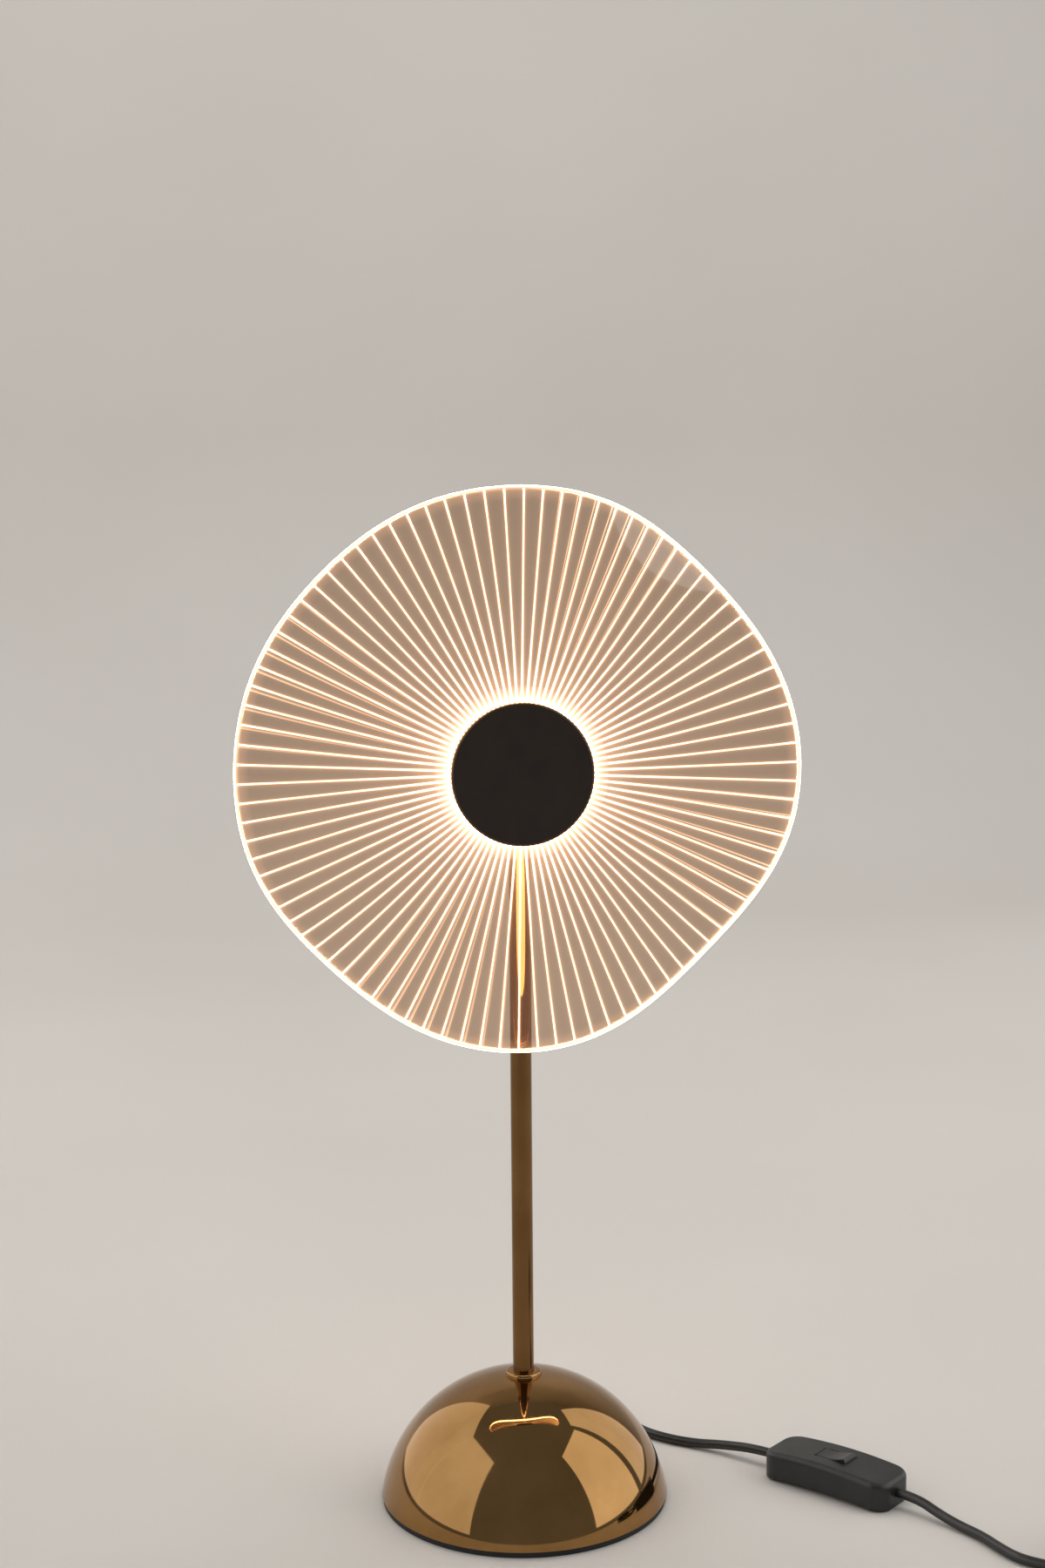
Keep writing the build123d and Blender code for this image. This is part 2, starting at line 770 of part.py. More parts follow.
block_screws.part.label = "block_screws"
export_step(block_screws.part, "parts/block_screws.step")

with BuildPart() as hub_cap:
    with BuildSketch(sheet_plane.offset(front_rim)):
        Circle(hub_radius)
    extrude(amount=front_face - front_rim)
    fillet(hub_cap.faces().sort_by(Axis.Y)[0].edges(), hub_edge)
    with BuildSketch(sheet_plane.offset(front_rim)):
        Circle(hub_inside)
    extrude(amount=front_face - hub_face - front_rim, mode=Mode.SUBTRACT)
    with BuildSketch(sheet_plane.offset(front_face - hub_face)):
        with PolarLocations(post_place, post_count, start_angle=post_first):
            Circle(post_radius)
    extrude(amount=-(front_face - hub_face - core_back - core_web))
    with BuildSketch(sheet_plane.offset(core_back + core_web)):
        with PolarLocations(post_place, post_count, start_angle=post_first):
            Circle(hub_screw_radius + thread_gap)
    extrude(amount=hub_screw_grip + thread_gap, mode=Mode.SUBTRACT)

hub_cap.part.label = "hub_cap"
export_step(hub_cap.part, "parts/hub_cap.step")

hub_screw_reach = core_back + core_web + hub_screw_grip
with BuildPart() as hub_screws:
    with BuildSketch(sheet_plane.offset(rear_face)):
        with PolarLocations(post_place, post_count, start_angle=post_first):
            Circle(hub_head_radius)
    extrude(amount=-hub_head_height)
    fillet(hub_screws.faces().sort_by(Axis.Y)[-post_count:].edges(), hub_head_height / 2)
    with BuildSketch(sheet_plane.offset(rear_face)):
        with PolarLocations(post_place, post_count, start_angle=post_first):
            Circle(hub_screw_radius)
    extrude(amount=hub_screw_reach - rear_face)

hub_screws.part.label = "hub_screws"
export_step(hub_screws.part, "parts/hub_screws.step")

with BuildPart() as rear_gasket:
    with BuildSketch(sheet_plane.offset(rear_rim)):
        Circle(hub_radius - gasket_inset)
        Circle(hub_inside + gasket_inset, mode=Mode.SUBTRACT)
    extrude(amount=gasket_sheet)

rear_gasket.part.label = "rear_gasket"
export_step(rear_gasket.part, "parts/rear_gasket.step")

with BuildPart() as front_gasket:
    with BuildSketch(sheet_plane.offset(front_rim)):
        Circle(hub_radius - gasket_inset)
        Circle(hub_inside + gasket_inset, mode=Mode.SUBTRACT)
    extrude(amount=-gasket_sheet)

front_gasket.part.label = "front_gasket"
export_step(front_gasket.part, "parts/front_gasket.step")

# ---------------------------------------------------------------- light source

with BuildPart() as led_core:
    with BuildSketch(sheet_plane.offset(core_back)):
        Circle(core_radius)
        with PolarLocations(post_place, post_count, start_angle=post_first):
            Circle(hub_screw_radius + clear_hole, mode=Mode.SUBTRACT)
    extrude(amount=core_length)
    with BuildSketch(sheet_plane.offset(core_back + core_web)):
        Circle(core_radius - core_wall)
    extrude(amount=core_length, mode=Mode.SUBTRACT)

led_core.part.label = "led_core"
export_step(led_core.part, "parts/led_core.step")

with BuildPart() as led_strip:
    with BuildSketch(sheet_plane.offset(-strip_width / 2)):
        Circle(core_radius + slip + strip_sheet)
        Circle(core_radius + slip, mode=Mode.SUBTRACT)
    extrude(amount=strip_width)

led_strip.part.label = "led_strip"
export_step(led_strip.part, "parts/led_strip.step")

led_face = core_radius + slip + strip_sheet + led_height + slip
with BuildPart() as leds:
    with BuildSketch(sheet_plane.offset(-led_width / 2)):
        with PolarLocations(led_face - led_height / 2, led_count):
            Rectangle(led_height, led_length)
    extrude(amount=led_width)

leds.part.label = "leds"
export_step(leds.part, "parts/leds.step")

with BuildPart() as led_plug:
    with BuildSketch(sheet_plane.offset(core_back)):
        with Locations((0, plug_place)):
            Rectangle(plug_width, plug_height)
    extrude(amount=-plug_depth)

led_plug.part.label = "led_plug"
export_step(led_plug.part, "parts/led_plug.step")

plug_back = -pole_behind - core_back + plug_depth


def led_route(side):
    """From the driver's right end, up through the nipple and the pole, to the plug in the hub."""
    step = side * half_pitch
    under = nipple_bottom - loop_under_nipple
    top = hub_height + plug_place + step
    return [
        (driver_end, driver_place + step, lead_height),
        (driver_end + loop_out, driver_place + step, lead_height),
        (driver_end + loop_out - 1, step + driver_place / 2, under),
        (0, step, under + 1),
        (0, step, top),
        (0, plug_back, top),
    ]


def led_radii(points):
    """Bend radii of a wire whose long upright run would otherwise ask for a wide sweep."""
    return [min(radius, loop_under_nipple) for radius in bend_radii(points)]


with BuildPart() as led_leads:
    for side in (-1, 1):
        with BuildLine() as route:
            FilletPolyline(*led_route(side), radius=led_radii(led_route(side)))
        with BuildSketch(start_plane(route.line)):
            Circle(lead_radius)
        sweep(path=route.line)

led_leads.part.label = "led_leads"
export_step(led_leads.part, "parts/led_leads.step")

# ---------------------------------------------------------------- acrylic sheet

hole_radius = led_face + led_gap
formed_span = sheet_radius - hub_radius
half_lobe = pi / wave_count
spare = radians(lobe_spare)


def sheet_run(reach, angle):
    """Radius and level of the formed sheet's middle, reach outside the hub along the sheet.

    The sheet is flat inside the hub. Between the lobes it bends away without stretching, so it also
    draws in a little there.
    """
    bend = wave_depth * (1 - cos(wave_count * angle)) / 2
    share = max(0, reach / formed_span)
    return hub_radius + reach - 2 / 3 * bend**2 * share**3 / formed_span, -bend * share**2


def sheet_point(reach, angle):
    """A point of the formed sheet's middle surface."""
    radius, level = sheet_run(reach, angle)
    return sheet_plane.from_local_coords(Vector(radius * cos(angle), radius * sin(angle), level))


def line_edge(angle, behind):
    """Points along an engraved line, in its own upright plane, behind the sheet's middle."""
    first = hole_radius + line_inset - hub_radius
    run = formed_span + line_spare - first
    points = []
    for step in range(line_steps + 1):
        reach = first + run * step / line_steps
        radius, level = sheet_run(reach, angle)
        further, lower = sheet_run(reach + slope_step, angle)
        tilt = atan2(lower - level, further - radius)
        points.append((radius + behind * sin(tilt), level - behind * cos(tilt)))
    return points


inner_reach = hole_radius - hole_spare - hub_radius
row_reaches = [inner_reach + (formed_span - inner_reach) * i / rows_out for i in range(rows_out + 1)]
row_angles = [(half_lobe + 2 * spare) * j / rows_round - spare for j in range(rows_round + 1)]
lobe_rows = [[sheet_point(reach, angle) for angle in row_angles] for reach in row_reaches]
lobe_face = Face.make_surface_from_array_of_points(lobe_rows, tol=0.02, min_deg=3, max_deg=8)
lobe_across = sheet_plane.y_dir * cos(half_lobe) - sheet_plane.x_dir * sin(half_lobe)
lobe_ridge = Plane(sheet_plane.origin, x_dir=sheet_plane.z_dir, z_dir=lobe_across)
outside = 2 * sheet_radius

with BuildPart() as lobe_half:
    thicken(lobe_face, amount=half_sheet, both=True)
    with BuildSketch(sheet_plane.offset(sheet_thickness)):
        with BuildLine():
            Polyline((hole_radius * cos(half_lobe), hole_radius * sin(half_lobe)),
                     (outside * cos(half_lobe), outside * sin(half_lobe)), (outside, 0), (hole_radius, 0))
            RadiusArc((hole_radius, 0), (hole_radius * cos(half_lobe), hole_radius * sin(half_lobe)),
                      -hole_radius)
        make_face()
    extrude(amount=-wave_depth - 2 * sheet_thickness, mode=Mode.INTERSECT)

line_pitch = 2 * pi / line_count
lobes = []
for stagger in (0, 0.5):
    with BuildPart() as grooved_half:
        add(lobe_half.part)
        for line in range(int(half_lobe / line_pitch - stagger) + 1):
            angle = half_lobe - line_pitch * (line + stagger)
            outward = sheet_plane.x_dir * cos(angle) + sheet_plane.y_dir * sin(angle)
            line_plane = Plane(sheet_plane.origin, x_dir=outward, z_dir=outward.cross(sheet_plane.z_dir))
            with BuildSketch(line_plane.offset(-line_width / 2)):
                with BuildLine():
                    groove_floor = Spline(*line_edge(angle, half_sheet - line_depth))
                    groove_top = Spline(*line_edge(angle, half_sheet + line_spare))
                    Line(groove_floor @ 0, groove_top @ 0)
                    Line(groove_floor @ 1, groove_top @ 1)
                make_face()
            extrude(amount=line_width, mode=Mode.SUBTRACT)
    with BuildPart() as one_lobe:
        add(grooved_half.part)
        mirror(grooved_half.part, about=lobe_ridge)
    lobes.append(one_lobe.part)

hub_axis = Axis((0, -pole_behind, hub_height), (0, -1, 0))
with BuildPart() as acrylic_sheet:
    add([lobes[k % len(lobes)].rotate(hub_axis, degrees(2 * half_lobe) * k) for k in range(wave_count)])

acrylic_sheet.part.label = "acrylic_sheet"
export_step(acrylic_sheet.part, "parts/acrylic_sheet.step")

# ---------------------------------------------------------------- inline switch

heading = radians(switch_turn)
switch_plane = Plane((switch_x, switch_y, 0), x_dir=(cos(heading), sin(heading), 0), z_dir=(0, 0, 1))
switch_side = Plane(switch_plane.origin, x_dir=switch_plane.x_dir, z_dir=-switch_plane.y_dir)
half_length = switch_length / 2
half_width = switch_width / 2
cover_inside = switch_thickness - switch_wall
cord_bore = cord_radius + slip
cord_entries = [
    Plane(switch_plane.from_local_coords((-side * (half_length + switch_wall), 0, 0)),
          x_dir=switch_plane.y_dir * side, z_dir=switch_plane.x_dir * side)
    for side in (1, -1)
]


def arch(along):
    """How far the arched body stands above its ends, along its length."""
    return switch_arch * (1 - (along / half_length) ** 2)


def arched_block(low, high, inset=0.0):
    """A block with the switch's outline in plan and its arch in side view, between two levels."""
    reach = half_length - inset
    rise_low = low + arch(reach)
    rise_high = high + arch(reach)
    with BuildPart() as block:
        with BuildSketch(switch_side.offset(inset - half_width)):
            with BuildLine():
                ThreePointArc((-reach, rise_low), (0, low + switch_arch), (reach, rise_low))
                Line((reach, rise_low), (reach, rise_high))
                ThreePointArc((reach, rise_high), (0, high + switch_arch), (-reach, rise_high))
                Line((-reach, rise_high), (-reach, rise_low))
            make_face()
        extrude(amount=switch_width - 2 * inset)
        fillet(block.edges().filter_by(Axis.Z), switch_corner - inset)
    return block.part


def inside_floor(along, reach):
    """A level inside the arched floor of the base, everywhere within reach of a place."""
    return (arch(max(0, along - reach)) + switch_wall + arch(along + reach)) / 2


def bosses(radius):
    """Circles at the two screws that hold the switch together, in the sketch being made."""
    with Locations((-boss_place_x, boss_place_y), (boss_place_x, -boss_place_y)):
        Circle(radius)


pivot_point = switch_plane.from_local_coords((0, 0, rocker_pivot))
pivot_plane = Plane(pivot_point, x_dir=switch_plane.x_dir, z_dir=-switch_plane.y_dir)
lug_inside = rocker_width / 2 + rocker_gap
cover_shell = arched_block(switch_split, switch_thickness)
cover_cavity = arched_block(switch_split - 1, cover_inside, switch_wall)
base_shell = arched_block(0, switch_split)
base_cavity = arched_block(switch_wall, switch_split + 1, switch_wall)

with BuildPart() as switch_cover:
    add(cover_shell)
    fillet(switch_cover.faces().sort_by(Axis.Z)[-1].edges(), switch_round)
    add(cover_cavity, mode=Mode.SUBTRACT)
    with BuildSketch(switch_plane.offset(switch_split + switch_arch)):
        bosses(boss_radius)
    extrude(amount=cover_inside - switch_split)
    with BuildSketch(pivot_plane):
        with BuildLine():
            Polyline((-lug_wall - trunnion_radius, switch_arch + cover_inside - rocker_pivot + 1),
                     (-lug_wall - trunnion_radius, 0))
            ThreePointArc((-lug_wall - trunnion_radius, 0), (0, -lug_drop), (lug_wall + trunnion_radius, 0))
            Polyline((lug_wall + trunnion_radius, 0),
                     (lug_wall + trunnion_radius, switch_arch + cover_inside - rocker_pivot + 1),
                     (-lug_wall - trunnion_radius, switch_arch + cover_inside - rocker_pivot + 1))
        make_face()
    extrude(amount=lug_inside + lug_wall, both=True)
    with BuildSketch(switch_plane.offset(rocker_pivot - lug_drop)):
        Rectangle(rocker_length + 2 * rocker_gap, rocker_width + 2 * rocker_gap)
    extrude(amount=switch_thickness, mode=Mode.SUBTRACT)
    with BuildSketch(pivot_plane):
        Circle(trunnion_radius + slip)
    extrude(amount=lug_inside + trunnion_length + slip, both=True, mode=Mode.SUBTRACT)
    with BuildSketch(switch_plane):
        bosses(switch_screw_radius + thread_gap)
    extrude(amount=switch_head_height + switch_screw_length + switch_arch, mode=Mode.SUBTRACT)
    with BuildSketch(*cord_entries):
        with Locations((0, cord_in_switch)):
            Circle(cord_bore)
    extrude(amount=sheath_in_switch, mode=Mode.SUBTRACT)

switch_cover.part.label = "switch_cover"
export_step(switch_cover.part, "parts/switch_cover.step")

plinth_foot = inside_floor(0, plinth_length / 2)
boss_foot = inside_floor(boss_place_x, boss_radius)
post_foot = inside_floor(grip_place, grip_post / 2)
grip_bottom = cord_in_switch + cord_bore

with BuildPart() as switch_base:
    add(base_shell)
    fillet(switch_base.faces().sort_by(Axis.Z)[0].edges(), switch_foot_round)
    add(base_cavity, mode=Mode.SUBTRACT)
    with BuildSketch(switch_plane.offset(plinth_foot)):
        RectangleRounded(plinth_length, plinth_width, switch_foot_round)
    extrude(amount=plinth_height - plinth_foot)
    with BuildSketch(switch_plane.offset(boss_foot)):
        bosses(boss_radius)
    extrude(amount=switch_split + switch_arch - boss_foot)
    with BuildSketch(switch_plane.offset(post_foot)):
        with GridLocations(2 * grip_place, grip_spacing, 2, 2):
            Rectangle(grip_post, grip_post)
    extrude(amount=grip_bottom - post_foot)
    with BuildSketch(switch_plane.offset(grip_bottom)):
        with GridLocations(2 * grip_place, grip_spacing, 2, 2):
            Circle(grip_screw_radius + thread_gap)
    extrude(amount=-grip_screw_length, mode=Mode.SUBTRACT)
    with BuildSketch(switch_plane):
        bosses(switch_screw_radius + clear_hole)
    extrude(amount=switch_thickness, mode=Mode.SUBTRACT)
    with BuildSketch(switch_plane):
        bosses(switch_head_radius + clear_hole)
    extrude(amount=switch_head_height + switch_arch, mode=Mode.SUBTRACT)
    with BuildSketch(*cord_entries):
        with Locations((0, cord_in_switch)):
            Circle(cord_bore)
    extrude(amount=sheath_in_switch, mode=Mode.SUBTRACT)

switch_base.part.label = "switch_base"
export_step(switch_base.part, "parts/switch_base.step")

terminal_top = plinth_height + strip_metal
knife_top = blade_height - slip
blade_swing = blade_ratio * rocker_tilt

with BuildPart() as feed_terminal:
    with BuildSketch(switch_plane.offset(plinth_height)):
        with Locations((-terminal_reach / 2 + knife_sheet / 2, 0)):
            Rectangle(terminal_reach, terminal_width)
    extrude(amount=strip_metal)
    with BuildSketch(switch_side.offset(-blade_width / 2)):
        with BuildLine():
            Polyline((-knife_sheet, plinth_height), (-knife_sheet / 2, knife_top - case_gap),
                     (knife_sheet / 2, knife_top - case_gap), (knife_sheet, plinth_height),
                     (-knife_sheet, plinth_height))
        make_face()
    extrude(amount=blade_width)

feed_terminal.part.label = "feed_terminal"
export_step(feed_terminal.part, "parts/feed_terminal.step")

with BuildPart() as load_terminal:
    with BuildSketch(switch_plane.offset(plinth_height)):
        with Locations(((terminal_reach + rivet_place - terminal_width / 2) / 2, 0)):
            Rectangle(terminal_reach - rivet_place + terminal_width / 2, terminal_width)
    extrude(amount=strip_metal)
    rivet_top = blade_height - rivet_place * sin(radians(blade_swing)) - case_gap
    with BuildSketch(switch_plane.offset(terminal_top)):
        with Locations((rivet_place, 0)):
            Circle(blade_width / 3)
    extrude(amount=rivet_top - terminal_top)

load_terminal.part.label = "load_terminal"
export_step(load_terminal.part, "parts/load_terminal.step")

# ---------------------------------------------------------------- rocker and contact blade

tilt = radians(rocker_tilt)
swing = radians(blade_swing)
upward = Vector(0, 0, 1)
rocker_plane = Plane(pivot_point, x_dir=switch_plane.x_dir * cos(tilt) + upward * sin(tilt),
                     z_dir=-switch_plane.y_dir)
rocker_floor = Plane(pivot_point, x_dir=rocker_plane.x_dir, z_dir=rocker_plane.y_dir)
rocker_axis = Axis(pivot_point, rocker_plane.y_dir)
rocker_end = rocker_length / 2
plunger_bore = plunger_radius + slip


def rocker_tip(side, height):
    """A point of one of the rocker's ends, which are round about the pivot, at a height above it."""
    return (side * sqrt(rocker_end**2 - height**2), height)


with BuildPart() as switch_rocker:
    with BuildSketch(rocker_plane):
        with BuildLine():
            Line(rocker_tip(-1, -rocker_skirt), rocker_tip(1, -rocker_skirt))
            ThreePointArc(rocker_tip(1, -rocker_skirt), (rocker_end, 0), rocker_tip(1, rocker_end_height))
            ThreePointArc(rocker_tip(1, rocker_end_height), (0, rocker_end_height - rocker_dip),
                          rocker_tip(-1, rocker_end_height))
            ThreePointArc(rocker_tip(-1, rocker_end_height), (-rocker_end, 0), rocker_tip(-1, -rocker_skirt))
        make_face()
    extrude(amount=rocker_width / 2, both=True)
    fillet(switch_rocker.faces().sort_by(rocker_axis)[-1].edges(), rocker_round)
    with BuildSketch(rocker_plane):
        Circle(trunnion_radius)
    extrude(amount=lug_inside + trunnion_length, both=True)
    with BuildSketch(rocker_floor.offset(-sleeve_reach)):
        Circle(plunger_radius + slip + sleeve_wall)
    extrude(amount=sleeve_reach)
    with BuildSketch(rocker_floor.offset(-sleeve_reach)):
        Circle(plunger_bore)
    extrude(amount=sleeve_reach + spring_room, mode=Mode.SUBTRACT)

switch_rocker.part.label = "switch_rocker"
export_step(switch_rocker.part, "parts/switch_rocker.step")

with BuildPart() as rocker_plunger:
    with BuildSketch(rocker_plane):
        with BuildLine():
            Polyline((0, plunger_radius - plunger_reach), (0, -plunger_top), (plunger_radius, -plunger_top),
                     (plunger_radius, plunger_radius - plunger_reach))
            ThreePointArc((plunger_radius, plunger_radius - plunger_reach),
                          (plunger_radius * sin(pi / 4), plunger_radius * (1 - cos(pi / 4)) - plunger_reach),
                          (0, -plunger_reach))
            Line((0, -plunger_reach), (0, plunger_radius - plunger_reach))
        make_face()
    revolve(axis=rocker_axis)

rocker_plunger.part.label = "rocker_plunger"
export_step(rocker_plunger.part, "parts/rocker_plunger.step")

blade_plane = Plane(switch_plane.from_local_coords((0, 0, blade_height)),
                    x_dir=switch_plane.x_dir * cos(swing) - upward * sin(swing),
                    z_dir=-switch_plane.y_dir)
with BuildPart() as contact_blade:
    with BuildSketch(blade_plane):
        with Locations((0, blade_sheet / 2)):
            Rectangle(blade_length, blade_sheet)
    extrude(amount=blade_width / 2, both=True)
    fillet(contact_blade.edges().filter_by(Axis(blade_plane.origin, blade_plane.y_dir)), blade_width / 4)

contact_blade.part.label = "contact_blade"
export_step(contact_blade.part, "parts/contact_blade.step")

# ---------------------------------------------------------------- inside the switch

head_bottom = switch_arch
head_top = switch_arch + switch_head_height
with BuildPart() as switch_screws:
    with BuildSketch(switch_plane.offset(head_bottom)):
        bosses(switch_head_radius)
    extrude(amount=switch_head_height)
    with BuildSketch(switch_plane.offset(head_top)):
        bosses(switch_screw_radius)
    extrude(amount=switch_screw_length)

switch_screws.part.label = "switch_screws"
export_step(switch_screws.part, "parts/switch_screws.step")

grip_top = grip_bottom + grip_sheet
with BuildPart() as cord_grips:
    with BuildSketch(switch_plane.offset(grip_bottom)):
        with GridLocations(2 * grip_place, 0, 2, 1):
            RectangleRounded(grip_post, grip_spacing + grip_post, grip_post / 4)
        with GridLocations(2 * grip_place, grip_spacing, 2, 2):
            Circle(grip_screw_radius + clear_hole, mode=Mode.SUBTRACT)
    extrude(amount=grip_sheet)

cord_grips.part.label = "cord_grips"
export_step(cord_grips.part, "parts/cord_grips.step")

with BuildPart() as grip_screws:
    with BuildSketch(switch_plane.offset(grip_top)):
        with GridLocations(2 * grip_place, grip_spacing, 2, 2):
            Circle(grip_head_radius)
    extrude(amount=grip_head_height)
    fillet(grip_screws.faces().sort_by(Axis.Z)[-4:].edges(), grip_head_height / 3)
    with BuildSketch(switch_plane.offset(grip_top)):
        with GridLocations(2 * grip_place, grip_spacing, 2, 2):
            Circle(grip_screw_radius)
    extrude(amount=-grip_screw_length)

grip_screws.part.label = "grip_screws"
export_step(grip_screws.part, "parts/grip_screws.step")

sheath_planes = [
    Plane(switch_plane.from_local_coords((-side * half_length, 0, 0)),
          x_dir=switch_plane.y_dir * side, z_dir=switch_plane.x_dir * side)
    for side in (1, -1)
]
with BuildPart() as switch_sheaths:
    with BuildSketch(*sheath_planes):
        with Locations((0, cord_in_switch)):
            Circle(cord_radius)
    extrude(amount=sheath_in_switch)

switch_sheaths.part.label = "switch_sheaths"
export_step(switch_sheaths.part, "parts/switch_sheaths.step")

core_start = half_length - sheath_in_switch
core_level = terminal_top + lead_radius


def switch_route(points):
    """Points of a wire inside the switch, from the switch's own frame."""
    return [switch_plane.from_local_coords(Vector(*point)) for point in points]


live_routes = [
    switch_route([
        (-side * core_start, half_pitch, cord_in_switch),
        (-side * (core_start - cord_radius), half_pitch, cord_in_switch),
        (-side * terminal_reach, 0, core_level),
        (-side * (terminal_reach - terminal_width), 0, core_level),
    ])
    for side in (1, -1)
]
neutral_route = switch_route([
    (-core_start, -half_pitch, cord_in_switch),
    (-core_start + cord_radius, -half_pitch, cord_in_switch),
    (-terminal_reach, -plinth_width / 2, cord_in_switch),
    (terminal_reach, -plinth_width / 2, cord_in_switch),
    (core_start - cord_radius, -half_pitch, cord_in_switch),
    (core_start, -half_pitch, cord_in_switch),
])
with BuildPart() as switch_cores:
    for points in (*live_routes, neutral_route):
        with BuildLine() as route:
            FilletPolyline(*points, radius=[min(r, cord_radius * 2) for r in bend_radii(points)])
        with BuildSketch(start_plane(route.line)):
            Circle(lead_radius)
        sweep(path=route.line)

switch_cores.part.label = "switch_cores"
export_step(switch_cores.part, "parts/switch_cores.step")

# ---------------------------------------------------------------- cord


def cord_tube(points):
    """A tube along straight runs and tangent arcs, with its bend radii and its volume printed."""
    radii = bend_radii(points)
    with BuildPart() as tube:
        with BuildLine() as route:
            FilletPolyline(*points, radius=radii)
        with BuildSketch(start_plane(route.line)):
            Circle(cord_radius)
        sweep(path=route.line)
    length = sum(edge.length for edge in route.line.edges())
    share = tube.part.volume / (pi * cord_radius**2 * length)
    print("bend radii", [round(radius, 1) for radius in radii])
    print("length", round(length, 1), "volume by section times length", round(share, 4))
    return tube.part


lamp_side = switch_plane.from_local_coords((-half_length, 0, cord_in_switch))
plug_side = switch_plane.from_local_coords((half_length, 0, cord_in_switch))
near_route = [
    (0, relief_end, cord_exit),
    (0, 111, cord_exit),
    (6, 125.5, 8.2),
    (20, 134.5, 4),
    (38, 133.5, 2.6),
    (53, 121, 2.6),
    (60.8, 102.5, 2.6),
    (66.5, 82, 2.6),
    (75, 63, 2.6),
    (88, 50.5, 2.6),
    (101, 42.5, 2.7),
    (114.5, 33.8, 4.8),
    tuple(switch_plane.from_local_coords((-half_length - cord_straight, 0, cord_in_switch))),
    tuple(lamp_side),
]
far_route = [
    tuple(plug_side),
    tuple(switch_plane.from_local_coords((half_length + cord_straight, 0, cord_in_switch))),
    (205.5, -64, 4.2),
    (213, -75.5, 2.6),
    (220.5, -88, 2.6),
    (225, -101.5, 2.6),
    (230.5, -113.5, 2.6),
    (241, -122, 2.6),
    (258, -135.5, 2.9),
    (275.8, -146.1, 3.3),
]
end_route = [
    (plug_x, coil_y, 8.6),
    (plug_x + 0.5, coil_y + coil_leave, 8.2),
    (plug_x, plug_y - cord_straight, plug_body_thickness / 2),
    (plug_x, plug_y, plug_body_thickness / 2),
]

near_tube = cord_tube(near_route)
far_tube = cord_tube(far_route)
end_tube = cord_tube(end_route)

with BuildPart() as cord_near:
    add(near_tube)

cord_near.part.label = "cord_near"
export_step(cord_near.part, "parts/cord_near.step")

with BuildPart() as cord_far:
    add(far_tube)

cord_far.part.label = "cord_far"
export_step(cord_far.part, "parts/cord_far.step")

coil_axis = Axis((coil_x, coil_y, 0), (0, 0, 1))
coil_middle = coil_lift + coil_height / 2


def coil_plane(angle):
    """The upright plane through the coil's axis and a direction, with its X outward."""
    turn = radians(angle)
    return Plane((coil_x, coil_y, 0), x_dir=(cos(turn), sin(turn), 0), z_dir=(sin(turn), -cos(turn), 0))


with BuildPart() as cord_coil:
    with BuildSketch(coil_plane(0)):
        with Locations((coil_ring, coil_middle)):
            RectangleRounded(coil_thickness, coil_height, coil_round)
    revolve(axis=coil_axis)

cord_coil.part.label = "cord_coil"
export_step(cord_coil.part, "parts/cord_coil.step")

tie_turn = degrees(tie_width / coil_ring)
tie_inside = 2 * slip
tie_outside = 2 * (slip + tie_sheet)
with BuildPart() as coil_tie:
    with BuildSketch(coil_plane(tie_angle - tie_turn / 2)):
        with Locations((coil_ring, coil_middle)):
            RectangleRounded(coil_thickness + tie_outside, coil_height + tie_outside, coil_round + tie_sheet)
            RectangleRounded(coil_thickness + tie_inside, coil_height + tie_inside, coil_round,
                             mode=Mode.SUBTRACT)
    revolve(axis=coil_axis, revolution_arc=tie_turn)

coil_tie.part.label = "coil_tie"
export_step(coil_tie.part, "parts/coil_tie.step")

with BuildPart() as cord_end:
    add(end_tube)

cord_end.part.label = "cord_end"
export_step(cord_end.part, "parts/cord_end.step")

# ---------------------------------------------------------------- plug

plug_middle = plug_body_thickness / 2
tail_end = plug_y + plug_tail_length
plug_face = tail_end + plug_body_length
pin_plane = Plane((plug_x, plug_face, plug_middle), x_dir=(1, 0, 0), z_dir=(0, 1, 0))

with BuildPart() as plug_body:
    with BuildSketch(Plane((plug_x, tail_end, 0))):
        Polygon((-plug_neck_width / 2, 0), (plug_neck_width / 2, 0),
                (plug_body_width / 2, plug_shoulder), (plug_body_width / 2, plug_body_length),
                (-plug_body_width / 2, plug_body_length), (-plug_body_width / 2, plug_shoulder), align=None)
    extrude(amount=plug_body_thickness)
    fillet(plug_body.edges().filter_by(Axis.Z), plug_corner)
    fillet(plug_body.faces().filter_by(Axis.Z).edges(), plug_round)
    with BuildSketch(Plane.YZ.offset(plug_x)):
        Polygon((plug_y, plug_middle), (plug_y, plug_middle + plug_tail_end),
                (tail_end, plug_middle + plug_tail_radius),
                (tail_end + plug_corner, plug_middle + plug_tail_radius),
                (tail_end + plug_corner, plug_middle), align=None)
        for k in range(groove_count):
            with Locations((plug_y + groove_pitch * (k + 1), plug_middle + plug_tail_radius)):
                Rectangle(groove_width, 2 * (groove_depth + plug_tail_radius - plug_tail_end),
                          mode=Mode.SUBTRACT)
    revolve(axis=Axis((plug_x, 0, plug_middle), (0, 1, 0)))

plug_body.part.label = "plug_body"
export_step(plug_body.part, "parts/plug_body.step")

with BuildPart() as plug_pins:
    with BuildSketch(pin_plane):
        with GridLocations(pin_spacing, 0, 2, 1):
            Circle(pin_core)
    extrude(amount=sleeve_length)
    with BuildSketch(pin_plane.offset(sleeve_length)):
        with GridLocations(pin_spacing, 0, 2, 1):
            Circle(pin_radius)
    extrude(amount=pin_length - sleeve_length)
    fillet(plug_pins.faces().sort_by(Axis.Y)[-2:].edges(), pin_round)

plug_pins.part.label = "plug_pins"
export_step(plug_pins.part, "parts/plug_pins.step")

